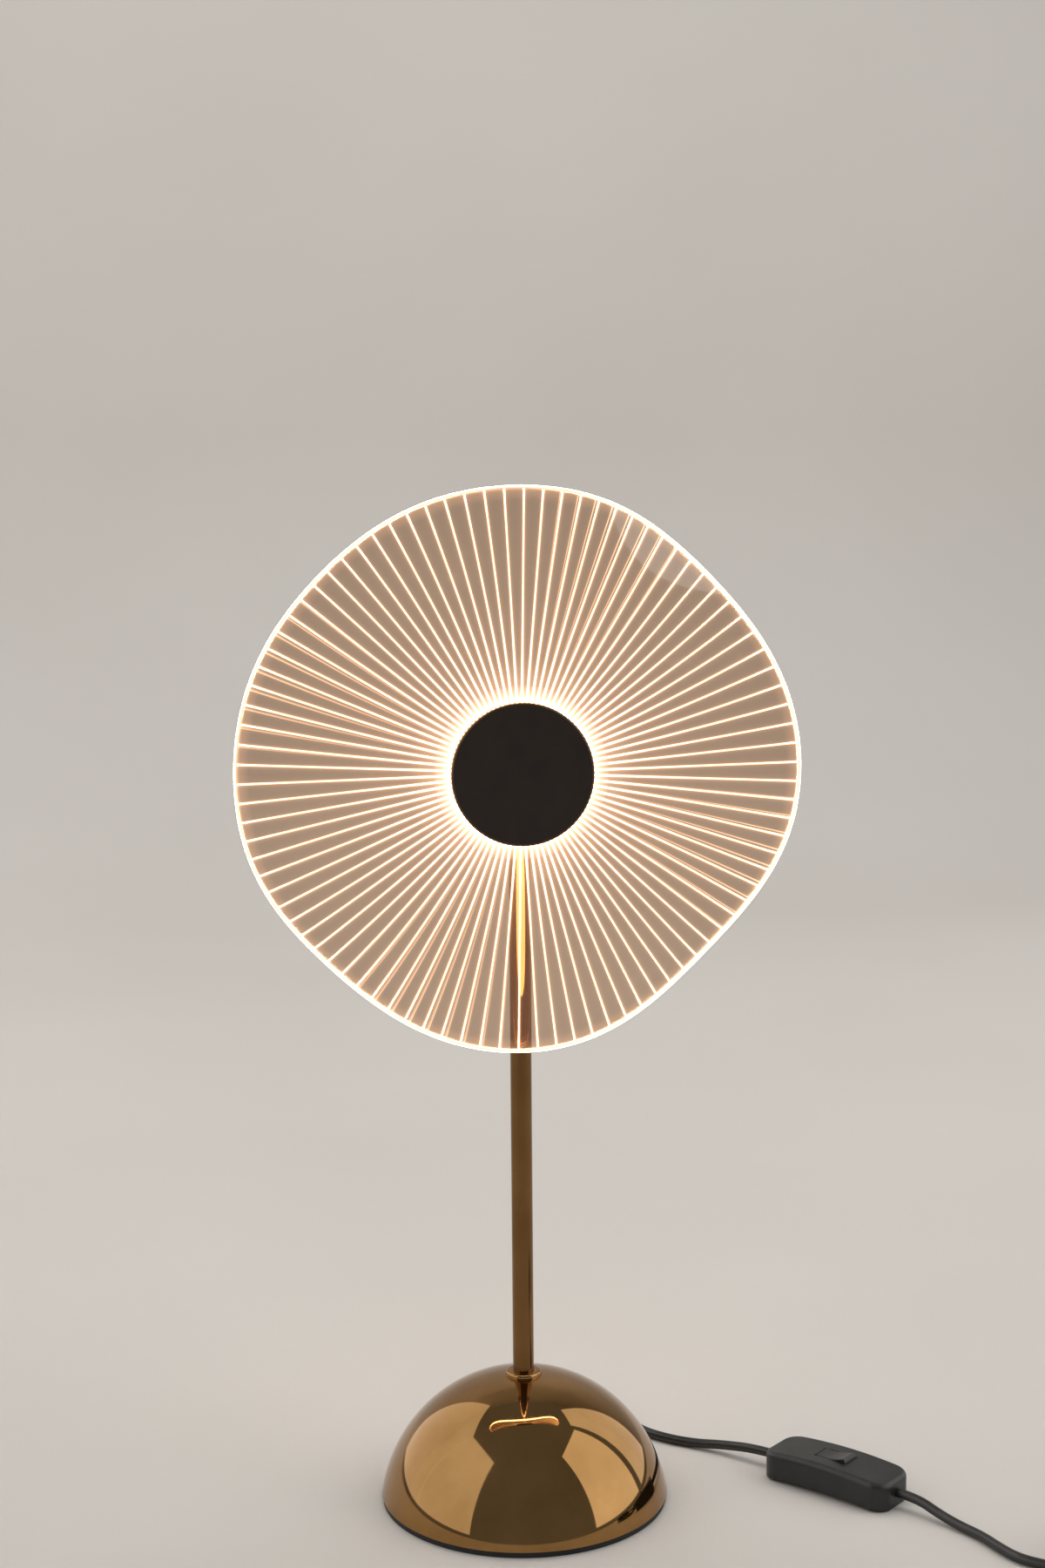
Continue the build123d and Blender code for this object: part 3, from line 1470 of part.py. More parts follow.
with BuildPart() as pin_sleeves:
    with BuildSketch(pin_plane):
        with GridLocations(pin_spacing, 0, 2, 1):
            Circle(sleeve_radius)
            Circle(pin_core + slip, mode=Mode.SUBTRACT)
    extrude(amount=sleeve_length)

pin_sleeves.part.label = "pin_sleeves"
export_step(pin_sleeves.part, "parts/pin_sleeves.step")
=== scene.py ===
"""A table lamp with an edge-lit, engraved acrylic sheet on a bronze pole and a mirror dome."""

import json
from math import cos, pi, radians, sin

import bpy
from mathutils import Matrix, Vector


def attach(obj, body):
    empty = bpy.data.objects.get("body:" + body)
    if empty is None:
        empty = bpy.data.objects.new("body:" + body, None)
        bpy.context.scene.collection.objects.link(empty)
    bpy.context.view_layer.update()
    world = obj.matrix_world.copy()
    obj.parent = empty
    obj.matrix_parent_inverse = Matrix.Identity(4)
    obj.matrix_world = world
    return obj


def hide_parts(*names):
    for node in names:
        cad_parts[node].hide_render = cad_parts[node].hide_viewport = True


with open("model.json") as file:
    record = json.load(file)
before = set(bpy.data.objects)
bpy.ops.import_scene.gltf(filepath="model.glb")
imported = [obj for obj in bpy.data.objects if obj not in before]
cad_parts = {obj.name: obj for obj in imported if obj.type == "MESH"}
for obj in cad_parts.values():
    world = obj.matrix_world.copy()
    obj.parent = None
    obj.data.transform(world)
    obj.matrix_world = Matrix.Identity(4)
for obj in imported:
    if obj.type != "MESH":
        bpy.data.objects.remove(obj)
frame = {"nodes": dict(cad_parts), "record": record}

MM = 0.001
nodes = frame["nodes"]
scene = bpy.context.scene
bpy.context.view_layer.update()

# ---------------------------------------------------------------- the object's own sizes, metres

HUB_CENTRE = Vector((0, -12 * MM, 384 * MM))
HUB_RADIUS = 36 * MM
HOLE_RADIUS = 28.5 * MM
SHEET_RADIUS = 143 * MM
SHEET_HALF = 1.5 * MM
FORMED_SPAN = SHEET_RADIUS - HUB_RADIUS
WAVE_DEPTH = 24 * MM
WAVES = 4
RIM_ROUND = 0.45 * MM
RIM_BAND = 1.5 * MM  # how much of the sheet's faces by the rim has the rim's own glow
HALO = 0.5 * MM
REFLECTION_SHIFT = 2.5 * MM  # how far the painted reflection of a line in the bent sheet's other face lies beside it, at the rim
REFLECTION_WIDTH = 0.14 * MM

LINES = 90
FIRST_LINE = radians(85)
LINE_START = 30 * MM
LINE_END = SHEET_RADIUS - 0.6 * MM
LINE_DEEP = 0.75 * MM
LINE_HALF = 0.45 * MM
LINE_SKIN = 0.06 * MM  # left between a line's open side and the sheet's back
LINE_FLARE = 0.3       # how much wider a line is by the hub, and how far that reaches
FLARE_REACH = 26 * MM

GROOVE_GLOW = 4.5
RIM_GLOW = 12.0
LED_GLOW = 10.0
HALO_GLOW = 0.8
HUB_GLOW = 1.6
REFLECTION_GLOW = 1.2

CORD = 5 * MM
COIL = Vector((292 * MM, -118 * MM, 0))

# ---------------------------------------------------------------- camera

PHOTO_HIGH = 1800  # pixels, as FOCAL_PIXELS is
CAMERA_ROUND = radians(-6.98)
CAMERA_REACH = 1147.84 * MM
CAMERA_HEIGHT = 526.43 * MM
CAMERA_DOWN = radians(7.42)
CAMERA_SIDEWAYS = radians(-0.1)
CAMERA_ROLL = radians(-0.47)
FOCAL_PIXELS = 2625.16
SENSOR = 36.0


def add_camera():
    """The photograph's camera, fitted to it together with the sheet's form."""
    heading = CAMERA_ROUND + CAMERA_SIDEWAYS
    ahead = Vector((-sin(heading) * cos(CAMERA_DOWN), cos(heading) * cos(CAMERA_DOWN), -sin(CAMERA_DOWN)))
    across = ahead.cross(Vector((0, 0, 1))).normalized()
    above = across.cross(ahead)
    right = across * cos(CAMERA_ROLL) + above * sin(CAMERA_ROLL)
    up = above * cos(CAMERA_ROLL) - across * sin(CAMERA_ROLL)
    place = Vector((CAMERA_REACH * sin(CAMERA_ROUND), -CAMERA_REACH * cos(CAMERA_ROUND), CAMERA_HEIGHT))
    data = bpy.data.cameras.new("camera")
    data.sensor_fit = "VERTICAL"
    data.sensor_height = SENSOR
    data.lens = FOCAL_PIXELS * SENSOR / PHOTO_HIGH
    data.clip_start = 0.01
    data.clip_end = 50
    camera = bpy.data.objects.new("camera", data)
    scene.collection.objects.link(camera)
    turn = Matrix((right, up, -ahead)).transposed().to_4x4()
    camera.matrix_world = Matrix.Translation(place) @ turn
    scene.camera = camera


add_camera()

# ---------------------------------------------------------------- material helpers


class Nodes:
    """A material and short calls that add its nodes."""

    def __init__(self, name):
        self.material = bpy.data.materials.new(name)
        self.material.use_nodes = True
        self.tree = self.material.node_tree
        self.tree.nodes.clear()
        self.output = self.tree.nodes.new("ShaderNodeOutputMaterial")
        self.shader = self.add("ShaderNodeBsdfPrincipled")
        self.link(self.shader.outputs[0], self.output.inputs["Surface"])
        self.place = self.add("ShaderNodeTexCoord").outputs["Object"]

    def add(self, kind, **settings):
        node = self.tree.nodes.new(kind)
        for name, value in settings.items():
            setattr(node, name, value)
        return node

    def link(self, source, target):
        self.tree.links.new(source, target)

    def put(self, value, target):
        """A number, a colour or another node's output into a socket."""
        if isinstance(value, bpy.types.NodeSocket):
            self.link(value, target)
        elif isinstance(value, (tuple, list)) and len(value) == 3 and target.type == "RGBA":
            target.default_value = (*value, 1)
        else:
            target.default_value = value

    def set(self, **values):
        """Values of the Principled shader's sockets, by their names with _ for a space."""
        for name, value in values.items():
            self.put(value, self.shader.inputs[name.replace("_", " ")])
        return self.material

    def math(self, kind, a, b=0.0, clamp=False):
        """One math node, as its output."""
        node = self.add("ShaderNodeMath", operation=kind, use_clamp=clamp)
        self.put(a, node.inputs[0])
        self.put(b, node.inputs[1])
        return node.outputs[0]

    def stretched(self, scale):
        """The object's coordinates, scaled along each axis."""
        node = self.add("ShaderNodeMapping")
        self.link(self.place, node.inputs["Vector"])
        node.inputs["Scale"].default_value = scale
        return node.outputs[0]

    def noise(self, size, detail=4.0, rough=0.55, at=None, seed=0.0):
        """Noise whose features are about size metres across, 0 to 1."""
        node = self.add("ShaderNodeTexNoise", noise_dimensions="4D")
        self.link(at or self.place, node.inputs["Vector"])
        self.put(1 / size, node.inputs["Scale"])
        self.put(detail, node.inputs["Detail"])
        self.put(rough, node.inputs["Roughness"])
        self.put(seed, node.inputs["W"])
        return node.outputs["Fac"]

    def cells(self, size):
        """Distance to the nearest of points that lie about size metres apart, in that size."""
        node = self.add("ShaderNodeTexVoronoi", feature="F1")
        self.link(self.place, node.inputs["Vector"])
        self.put(1 / size, node.inputs["Scale"])
        return node.outputs["Distance"]

    def ramp(self, value, *stops):
        """A number through (place, number) stops."""
        return self.colours(value, *((place, (number,) * 3) for place, number in stops))

    def colours(self, value, *stops):
        """A number through (place, colour) stops."""
        node = self.add("ShaderNodeValToRGB")
        self.link(value, node.inputs[0])
        elements = node.color_ramp.elements
        for stop in stops[2:]:
            elements.new(stop[0])
        for element, (place, colour) in zip(elements, stops):
            element.position = place
            element.color = (*colour, 1)
        return node.outputs[0]

    def span(self, value, low, high, to_low, to_high):
        """A number mapped from low..high to to_low..to_high, and held at both ends."""
        node = self.add("ShaderNodeMapRange")
        self.link(value, node.inputs["Value"])
        for name, number in zip(("From Min", "From Max", "To Min", "To Max"), (low, high, to_low, to_high)):
            self.put(number, node.inputs[name])
        return node.outputs[0]

    def bump(self, height, distance, strength):
        node = self.add("ShaderNodeBump")
        self.link(height, node.inputs["Height"])
        node.inputs["Distance"].default_value = distance
        node.inputs["Strength"].default_value = strength
        self.link(node.outputs[0], self.shader.inputs["Normal"])

    def axes(self):
        """The object's x, y and z."""
        node = self.add("ShaderNodeSeparateXYZ")
        self.link(self.place, node.inputs[0])
        return node.outputs


def shade(colour, factor):
    """A colour made darker or lighter."""
    return tuple(min(1, channel * factor) for channel in colour)


# ---------------------------------------------------------------- finishes


def moulded(name, colour, rough, grain=0.35 * MM, deep=0.02 * MM, coat=0.0, lighter=1.5):
    """Moulded plastic or rubber: a fine grain, slight mottle and rubbed, shinier patches."""
    m = Nodes(name)
    mottle = m.noise(9 * MM, 5, 0.6)
    rubbed = m.noise(26 * MM, 3, 0.5, seed=3.0)
    base = m.colours(mottle, (0.3, shade(colour, 0.8)), (0.7, shade(colour, lighter)))
    m.bump(m.noise(grain, 2, 0.5, seed=7.0), deep, 0.5)
    return m.set(Base_Color=base, Roughness=m.span(rubbed, 0.3, 0.7, rough - 0.06, rough + 0.08),
                 Coat_Weight=coat, Coat_Roughness=0.12, IOR=1.5)


def metal(name, colour, rough, brushed=(1.0, 1.0, 1.0), grain=0.5 * MM, deep=0.004 * MM, dark=0.75):
    """Plated or machined metal: turning or brush marks, and slight stains in its colour."""
    m = Nodes(name)
    stain = m.noise(14 * MM, 5, 0.6)
    marks = m.noise(grain, 3, 0.6, at=m.stretched(brushed), seed=2.0)
    base = m.colours(stain, (0.25, shade(colour, dark)), (0.65, colour))
    m.bump(marks, deep, 0.4)
    return m.set(Base_Color=base, Metallic=1.0,
                 Roughness=m.span(marks, 0.3, 0.7, rough * 0.8, rough * 1.25))


def mirror_bronze():
    """Polished, lacquered bronze plate: nearly a mirror, with faint polish swirls, dust and finger haze."""
    m = Nodes("mirror_bronze")
    haze = m.noise(34 * MM, 4, 0.6)
    swirl = m.noise(3.2 * MM, 4, 0.7, at=m.stretched((1, 1, 5)), seed=4.0)
    dust = m.ramp(m.cells(2.6 * MM), (0.0, 1.0), (0.06, 0.0))
    base = m.colours(haze, (0.25, (0.27, 0.145, 0.05)), (0.7, (0.36, 0.2, 0.075)))
    rough = m.math("ADD", m.span(haze, 0.35, 0.75, 0.035, 0.075), m.math("MULTIPLY", dust, 0.12))
    m.bump(swirl, 0.0016 * MM, 0.35)
    return m.set(Base_Color=base, Metallic=1.0, Roughness=rough)


def pole_bronze():
    """Drawn bronze tube: fine lines along it under a dark lacquer."""
    m = Nodes("pole_bronze")
    drawn = m.noise(1.1 * MM, 4, 0.6, at=m.stretched((1, 1, 0.02)), seed=5.0)
    age = m.noise(40 * MM, 4, 0.6)
    base = m.colours(age, (0.3, (0.17, 0.088, 0.032)), (0.7, (0.23, 0.122, 0.046)))
    m.bump(drawn, 0.004 * MM, 0.4)
    return m.set(Base_Color=base, Metallic=1.0, Roughness=m.span(drawn, 0.3, 0.7, 0.10, 0.2))


def hub_bronze():
    """Very dark bronze paint on the hub, with a fine orange-peel and a painted highlight: a paler, more
    metallic, glossier band round its edge.
    """
    m = Nodes("hub_bronze")
    x, _, z = m.axes()
    out = m.math("SQRT", m.math("ADD", m.math("POWER", x, 2.0),
                                m.math("POWER", m.math("SUBTRACT", z, HUB_CENTRE.z), 2.0)))
    edge = m.span(out, HUB_RADIUS - 1.4 * MM, HUB_RADIUS - 0.4 * MM, 0.0, 1.0)
    # painted highlight: the band round the hub's edge is made paler, more metallic and glossier, slightly
    # uneven along it
    painted_edge_highlight = m.math("MULTIPLY", edge, m.span(m.noise(9 * MM, 3, 0.5), 0.3, 0.7, 0.88, 1.0))
    flat = m.colours(m.noise(12 * MM, 5, 0.6), (0.3, (0.016, 0.009, 0.005)), (0.7, (0.026, 0.015, 0.008)))
    mix = m.add("ShaderNodeMix", data_type="RGBA")
    m.link(painted_edge_highlight, mix.inputs[0])
    m.link(flat, mix.inputs[6])
    m.put((0.12, 0.065, 0.026), mix.inputs[7])
    m.bump(m.noise(0.7 * MM, 2, 0.5, seed=9.0), 0.01 * MM, 0.35)
    return m.set(Base_Color=mix.outputs[2], Metallic=m.math("MULTIPLY", painted_edge_highlight, 0.9), Specular_IOR_Level=0.4,
                 Roughness=m.span(painted_edge_highlight, 0.0, 1.0, 0.42, 0.28))


def glowing(name, core, strength):
    """A warm light with slight unevenness along it."""
    m = Nodes(name)
    uneven = m.span(m.noise(6 * MM, 3, 0.5), 0.3, 0.7, 0.75, 1.25)
    return m.set(Base_Color=core, Emission_Color=core, Roughness=0.4,
                 Emission_Strength=m.math("MULTIPLY", uneven, strength))


FINISHES = {
    "foot_rubber": moulded("foot_rubber", (0.012, 0.012, 0.012), 0.75),
    "bronze_mirror": mirror_bronze(),
    "pole_bronze": pole_bronze(),
    "hub_bronze": hub_bronze(),
    "zinc_steel": metal("zinc_steel", (0.55, 0.56, 0.58), 0.35),
    "screw_steel": metal("screw_steel", (0.42, 0.42, 0.43), 0.3, grain=0.25 * MM),
    "weight_iron": metal("weight_iron", (0.12, 0.11, 0.10), 0.6, deep=0.03 * MM, grain=1.5 * MM),
    "pole_brass": metal("pole_brass", (0.72, 0.5, 0.22), 0.28),
    "driver_plastic": moulded("driver_plastic", (0.62, 0.61, 0.57), 0.5, lighter=1.1),
    "driver_foam": moulded("driver_foam", (0.05, 0.05, 0.055), 0.9, grain=1 * MM, deep=0.1 * MM),
    "clamp_nylon": moulded("clamp_nylon", (0.6, 0.58, 0.52), 0.45, lighter=1.1),
    "cord_black": moulded("cord_black", (0.011, 0.010, 0.010), 0.36, coat=0.15),
    "wire_insulation": moulded("wire_insulation", (0.22, 0.07, 0.03), 0.4, lighter=1.2),
    "led_wire": moulded("led_wire", (0.5, 0.03, 0.02), 0.4, lighter=1.2),
    "core_aluminium": metal("core_aluminium", (0.72, 0.72, 0.73), 0.3, brushed=(1, 1, 6)),
    "strip_white": moulded("strip_white", (0.75, 0.75, 0.72), 0.45, lighter=1.05),
    "led_phosphor": glowing("led_phosphor", (1.0, 0.72, 0.38), LED_GLOW),
    "gasket_silicone": moulded("gasket_silicone", (0.5, 0.48, 0.44), 0.6, lighter=1.1),
    "acrylic_clear": moulded("acrylic_hidden", (0.8, 0.8, 0.8), 0.1),
    "switch_black": moulded("switch_black", (0.014, 0.0135, 0.013), 0.38, grain=0.5 * MM, deep=0.02 * MM),
    "rocker_black": moulded("rocker_black", (0.012, 0.0115, 0.011), 0.3, grain=0.6 * MM, deep=0.01 * MM),
    "contact_brass": metal("contact_brass", (0.75, 0.55, 0.25), 0.3),
    "tie_black": moulded("tie_black", (0.02, 0.02, 0.02), 0.6),
    "plug_black": moulded("plug_black", (0.014, 0.0135, 0.013), 0.42, grain=0.5 * MM, deep=0.02 * MM),
    "pin_nickel": metal("pin_nickel", (0.68, 0.66, 0.62), 0.2, brushed=(1, 0.1, 1)),
}


def dress_nodes():
    """Each carried-over CAD node gets the finish of its slot in the record."""
    for entry in frame["record"]["subparts"]:
        piece = nodes[entry["node"]]
        if not piece.material_slots:
            piece.data.materials.append(None)
        piece.material_slots[0].link = "OBJECT"
        piece.material_slots[0].material = FINISHES[entry["material_slot"]]


dress_nodes()

# ---------------------------------------------------------------- meshes


def mesh_piece(name, points, faces, materials, smooth=True, kinds=None):
    """A mesh object; kinds gives each face the number of its material."""
    mesh = bpy.data.meshes.new(name)
    mesh.from_pydata([tuple(point) for point in points], [], faces)
    for material in materials:
        mesh.materials.append(material)
    for face, kind in zip(mesh.polygons, kinds or [0] * len(faces)):
        face.material_index = kind
        face.use_smooth = smooth
    mesh.validate()
    piece = bpy.data.objects.new(name, mesh)
    scene.collection.objects.link(piece)
    return piece


def sheet_offset(reach, angle):
    """Radius from the hub's axis, and how far back, of a point reach outside the hub along the sheet."""
    bend = WAVE_DEPTH * (1 - cos(WAVES * angle)) / 2
    share = max(0, reach / FORMED_SPAN)
    return HUB_RADIUS + reach - 2 / 3 * bend**2 * share**3 / FORMED_SPAN, bend * share**2


def sheet_point(reach, angle, deep):
    """A point of the formed sheet, deep in front of its middle surface."""
    step = 0.2 * MM
    turn = step / SHEET_RADIUS
    radius, back = sheet_offset(reach, angle)
    middle = Vector((radius * cos(angle), back, radius * sin(angle)))
    radius, back = sheet_offset(reach + step, angle)
    outward = Vector((radius * cos(angle), back, radius * sin(angle))) - middle
    radius, back = sheet_offset(reach, angle + turn)
    around = Vector((radius * cos(angle + turn), back, radius * sin(angle + turn))) - middle
    normal = outward.cross(around).normalized()
    if normal.y > 0:
        normal = -normal
    return HUB_CENTRE + middle + normal * deep


# ---------------------------------------------------------------- acrylic sheet


def reach_along(m):
    """How far outside the hub a point lies along the sheet, from the mesh, as a node."""
    return m.add("ShaderNodeAttribute", attribute_name="reach").outputs["Fac"]


def out_from_hub(m):
    """Distance from the hub's axis, as a node."""
    x, _, z = m.axes()
    away = m.math("SUBTRACT", z, HUB_CENTRE.z)
    return m.math("SQRT", m.math("ADD", m.math("MULTIPLY", x, x), m.math("MULTIPLY", away, away)))


def from_a_line(m, out, angle, shift=0.0):
    """Distance from the nearest engraved line, or from its painted reflection shift away round the sheet,
    as a node.
    """
    pitch = 2 * pi / LINES
    turn = m.math("SUBTRACT", angle, FIRST_LINE)
    if shift:
        turn = m.math("ADD", turn, m.math("DIVIDE", shift, out))
    place = m.math("DIVIDE", turn, pitch)
    aside = m.math("ABSOLUTE", m.math("SUBTRACT", m.math("FRACT", m.math("ADD", place, LINES + 0.5)), 0.5))
    return m.math("MULTIPLY", m.math("MULTIPLY", aside, pitch), out)


def beside_lines(m, distance, width):
    """Light that falls off beside a line: 1 on it, a half at width from it, as a node."""
    aside = m.math("DIVIDE", distance, width)
    return m.math("DIVIDE", 1.0, m.math("ADD", m.math("MULTIPLY", aside, aside), 1.0))


def clear_acrylic():
    """Clear cast acrylic lit from its inner edge: warm light beside each line and by the hub and rim, and a
    painted reflection of each line beside it where the sheet's waves fall away.
    """
    m = Nodes("clear_acrylic")
    out = out_from_hub(m)
    x, _, z = m.axes()
    angle = m.math("ARCTAN2", m.math("SUBTRACT", z, HUB_CENTRE.z), x)
    share = m.math("DIVIDE", reach_along(m), FORMED_SPAN, clamp=True)
    by_hub = m.ramp(share, (0.0, 1.0), (0.03, 0.42), (0.08, 0.13), (0.2, 0.045), (0.5, 0.02), (1.0, 0.012))
    by_rim = m.ramp(share, (0.93, 0.0), (0.975, 0.1), (0.987, 0.4))
    along = m.ramp(share, (0.0, 0.55), (0.2, 0.6), (0.5, 0.5), (1.0, 0.5))
    halo = m.math("MULTIPLY", beside_lines(m, from_a_line(m, out, angle), HALO), along)
    # painted reflection: each engraved line's image in the sheet's other face, painted as a thin emitted
    # line shifted beside it, only where the waves fall away and stronger outward
    slope = m.math("SINE", m.math("MULTIPLY", angle, WAVES))
    shift = m.math("MULTIPLY", m.math("MULTIPLY", slope, m.math("SQRT", share)), REFLECTION_SHIFT)
    line_reflection = beside_lines(m, from_a_line(m, out, angle, shift), REFLECTION_WIDTH)
    falling = m.math("MULTIPLY", slope, -1.0, clamp=True)
    line_reflection = m.math("MULTIPLY", line_reflection, m.math("MULTIPLY", falling, m.math("MULTIPLY", share, REFLECTION_GLOW)))
    dust = m.ramp(m.cells(3.4 * MM), (0.0, 1.0), (0.05, 0.0))
    patch = m.ramp(m.noise(30 * MM, 4, 0.6, seed=2.0), (0.52, 0.0), (0.75, 1.0))
    specks = m.math("MULTIPLY", dust, m.math("MULTIPLY", m.math("ADD", patch, 0.2), 0.6))
    smudge = m.math("MULTIPLY", m.ramp(m.noise(11 * MM, 5, 0.65, seed=6.0), (0.55, 0.0), (0.8, 1.0)), patch)
    glow = m.math("ADD", m.math("MULTIPLY", halo, HALO_GLOW), m.math("MULTIPLY", by_hub, HUB_GLOW))
    dirt = m.math("ADD", specks, m.math("MULTIPLY", smudge, 0.12))
    glow = m.math("ADD", glow, m.math("ADD", by_rim, dirt))
    glow = m.math("ADD", glow, line_reflection)
    tone = m.colours(m.math("MULTIPLY", glow, 0.5),
                     (0.0, (1.0, 0.47, 0.24)), (0.35, (1.0, 0.56, 0.30)), (1.0, (1.0, 0.80, 0.60)))
    m.bump(m.noise(18 * MM, 2, 0.4, seed=1.0), 0.02 * MM, 0.3)
    return m.set(Base_Color=(0.58, 0.45, 0.345), Transmission_Weight=1.0, IOR=1.49, Roughness=0.02,
                 Emission_Color=tone, Emission_Strength=glow)


def build_sheet(acrylic, rim):
    """The formed sheet with a small round on its rim, which has the lit material."""
    around = 720
    outward = 40
    inner = HOLE_RADIUS - HUB_RADIUS
    edge_steps = 4
    profile = []
    for i in range(outward + 1):
        reach = inner + (FORMED_SPAN - RIM_BAND - inner) * i / outward
        profile.append((reach, SHEET_HALF, i == outward))
    band_steps = 3
    for k in range(1, band_steps + 1):
        profile.append((FORMED_SPAN - RIM_BAND + (RIM_BAND - RIM_ROUND) * k / band_steps, SHEET_HALF, 1))
    for k in range(1, edge_steps + 1):
        turn = pi / 2 * k / edge_steps
        profile.append((FORMED_SPAN - RIM_ROUND + RIM_ROUND * sin(turn),
                        SHEET_HALF - RIM_ROUND + RIM_ROUND * cos(turn), 1))
    front = list(profile)
    back = [(reach, -deep, kind) for reach, deep, kind in reversed(front)]
    loop = front + back
    points, faces, kinds = [], [], []
    for j in range(around):
        angle = 2 * pi * j / around
        points += [sheet_point(reach, angle, deep) for reach, deep, _ in loop]
    count = len(loop)
    for j in range(around):
        here, there = j * count, (j + 1) % around * count
        for i in range(count):
            step = (i + 1) % count
            faces.append((here + i, here + step, there + step, there + i))
            kinds.append(1 if loop[i][2] and loop[step][2] else 0)
    piece = mesh_piece("sheet_acrylic", points, faces, [acrylic, rim], kinds=kinds)
    reach = piece.data.attributes.new("reach", "FLOAT", "POINT")
    reach.data.foreach_set("value", [row[0] for row in loop] * around)
    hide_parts("acrylic_sheet")
    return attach(piece, "lamp")


def lit_groove():
    """The light that an engraved groove throws out: white near the hub, warmer outward."""
    m = Nodes("lit_groove")
    out = m.span(out_from_hub(m), HUB_RADIUS, SHEET_RADIUS, 0.0, 1.0)
    tone = m.colours(out, (0.0, (1.0, 0.90, 0.74)), (0.35, (1.0, 0.84, 0.66)), (1.0, (1.0, 0.80, 0.60)))
    fade = m.ramp(out, (0.0, 1.0), (0.12, 0.6), (0.5, 0.42), (1.0, 0.36))
    chips = m.span(m.noise(1.3 * MM, 3, 0.6, seed=3.0), 0.3, 0.7, 0.85, 1.15)
    return m.set(Base_Color=(0.9, 0.75, 0.55), Roughness=0.5, Emission_Color=tone,
                 Emission_Strength=m.math("MULTIPLY", m.math("MULTIPLY", fade, chips), GROOVE_GLOW))


def lit_rim():
    """The sheet's polished edge, where the light that no groove caught comes out."""
    m = Nodes("lit_rim")
    run = m.span(m.noise(16 * MM, 3, 0.6, seed=8.0), 0.3, 0.7, 0.8, 1.25)
    place = m.span(reach_along(m), FORMED_SPAN - RIM_BAND, FORMED_SPAN, 0.0, 1.0)
    power = m.ramp(place, (0.0, 0.03), (0.3, 0.06), (0.62, 0.12), (0.85, 0.35), (0.96, 0.7), (0.99, 2.5))
    tone = m.colours(place, (0.0, (1.0, 0.60, 0.33)), (0.35, (1.0, 0.74, 0.50)), (0.6, (1.0, 0.82, 0.62)))
    return m.set(Base_Color=(0.9, 0.75, 0.55), Roughness=0.2, Emission_Color=tone,
                 Emission_Strength=m.math("MULTIPLY", m.math("MULTIPLY", run, power), RIM_GLOW))


def build_grooves(material):
    """Ninety V grooves in the sheet's back, each a thin three-sided blade of light."""
    steps = 30
    points, faces = [], []
    for k in range(LINES):
        angle = FIRST_LINE - 2 * pi * k / LINES
        first = len(points)
        for i in range(steps + 1):
            reach = LINE_START - HUB_RADIUS + (LINE_END - LINE_START) * i / steps
            radius = sheet_offset(reach, angle)[0]
            wide = LINE_HALF * (1 + LINE_FLARE * max(0, 1 - (radius - HUB_RADIUS) / FLARE_REACH))
            half_turn = wide / radius
            points.append(sheet_point(reach, angle - half_turn, -SHEET_HALF + LINE_SKIN))
            points.append(sheet_point(reach, angle + half_turn, -SHEET_HALF + LINE_SKIN))
            points.append(sheet_point(reach, angle, -SHEET_HALF + LINE_DEEP))
        for i in range(steps):
            a = first + 3 * i
            for here, there in ((0, 1), (1, 2), (2, 0)):
                faces.append((a + here, a + there, a + 3 + there, a + 3 + here))
        faces.append((first + 2, first + 1, first))
        last = first + 3 * steps
        faces.append((last, last + 1, last + 2))
    piece = mesh_piece("engraved_lines", points, faces, [material], smooth=False)
    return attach(piece, "lamp")


build_sheet(clear_acrylic(), lit_rim())
build_grooves(lit_groove())

# ---------------------------------------------------------------- cords

NEAR_ROUTE = [  # mm, as the other routes
    (0, 96.86, 12), (0, 111, 12), (6, 125.5, 8.2), (20, 134.5, 4), (38, 133.5, 2.6), (53, 121, 2.6),
    (60.8, 102.5, 2.6), (66.5, 82, 2.6), (75, 63, 2.6), (88, 50.5, 2.6), (101, 42.5, 2.7),
    (114.5, 33.8, 4.8), (129.9, 20.0, 7.4), (138.13, 11.25, 7.4),
]
FAR_ROUTE = [
    (189.67, -43.25, 7.4), (197.9, -52.0, 7.4), (205.5, -64, 4.2), (213, -75.5, 2.6), (220.5, -88, 2.6),
    (225, -101.5, 2.6), (230.5, -113.5, 2.6), (241, -122, 2.6), (258, -135.5, 2.9),
]
END_ROUTE = [(324.5, -118, 8.6), (325, -105, 8.2), (324.5, -86, 6.85), (324.5, -74, 6.85)]
COIL_SLOTS = [  # ring radius and level of each turn, mm
    (32.5, 3.3), (27.5, 3.3), (22.5, 3.3), (22.5, 8.05),
    (27.5, 8.05), (22.5, 12.8), (27.5, 12.8), (32.5, 8.3),
]
COIL_ENTRY = -120  # degrees, as the next two
COIL_STEP = 15
SLOT_CHANGE = (180, 240)


def coil_route():
    """The coil's turns: each runs in its slot and moves to the next one over the same part of the ring."""
    start, end = SLOT_CHANGE
    points = []
    for k in range(int((360 * (len(COIL_SLOTS) - 1) - COIL_ENTRY) / COIL_STEP)):
        angle = COIL_ENTRY + COIL_STEP * k
        turns = (angle - start) / 360
        slot = max(0, int(turns) + (1 if turns >= 0 else 0))
        before = COIL_SLOTS[max(0, slot - 1)]
        after = COIL_SLOTS[min(slot, len(COIL_SLOTS) - 1)]
        share = min(1, (angle - start - 360 * max(0, slot - 1)) / (end - start)) if slot else 1
        share = share * share * (3 - 2 * share)
        ring, level = (b + (a - b) * share for b, a in zip(before, after))
        ring /= cos(radians(COIL_STEP / 2))
        turn = radians(angle)
        points.append((COIL.x / MM + ring * cos(turn), COIL.y / MM + ring * sin(turn), level))
    return points


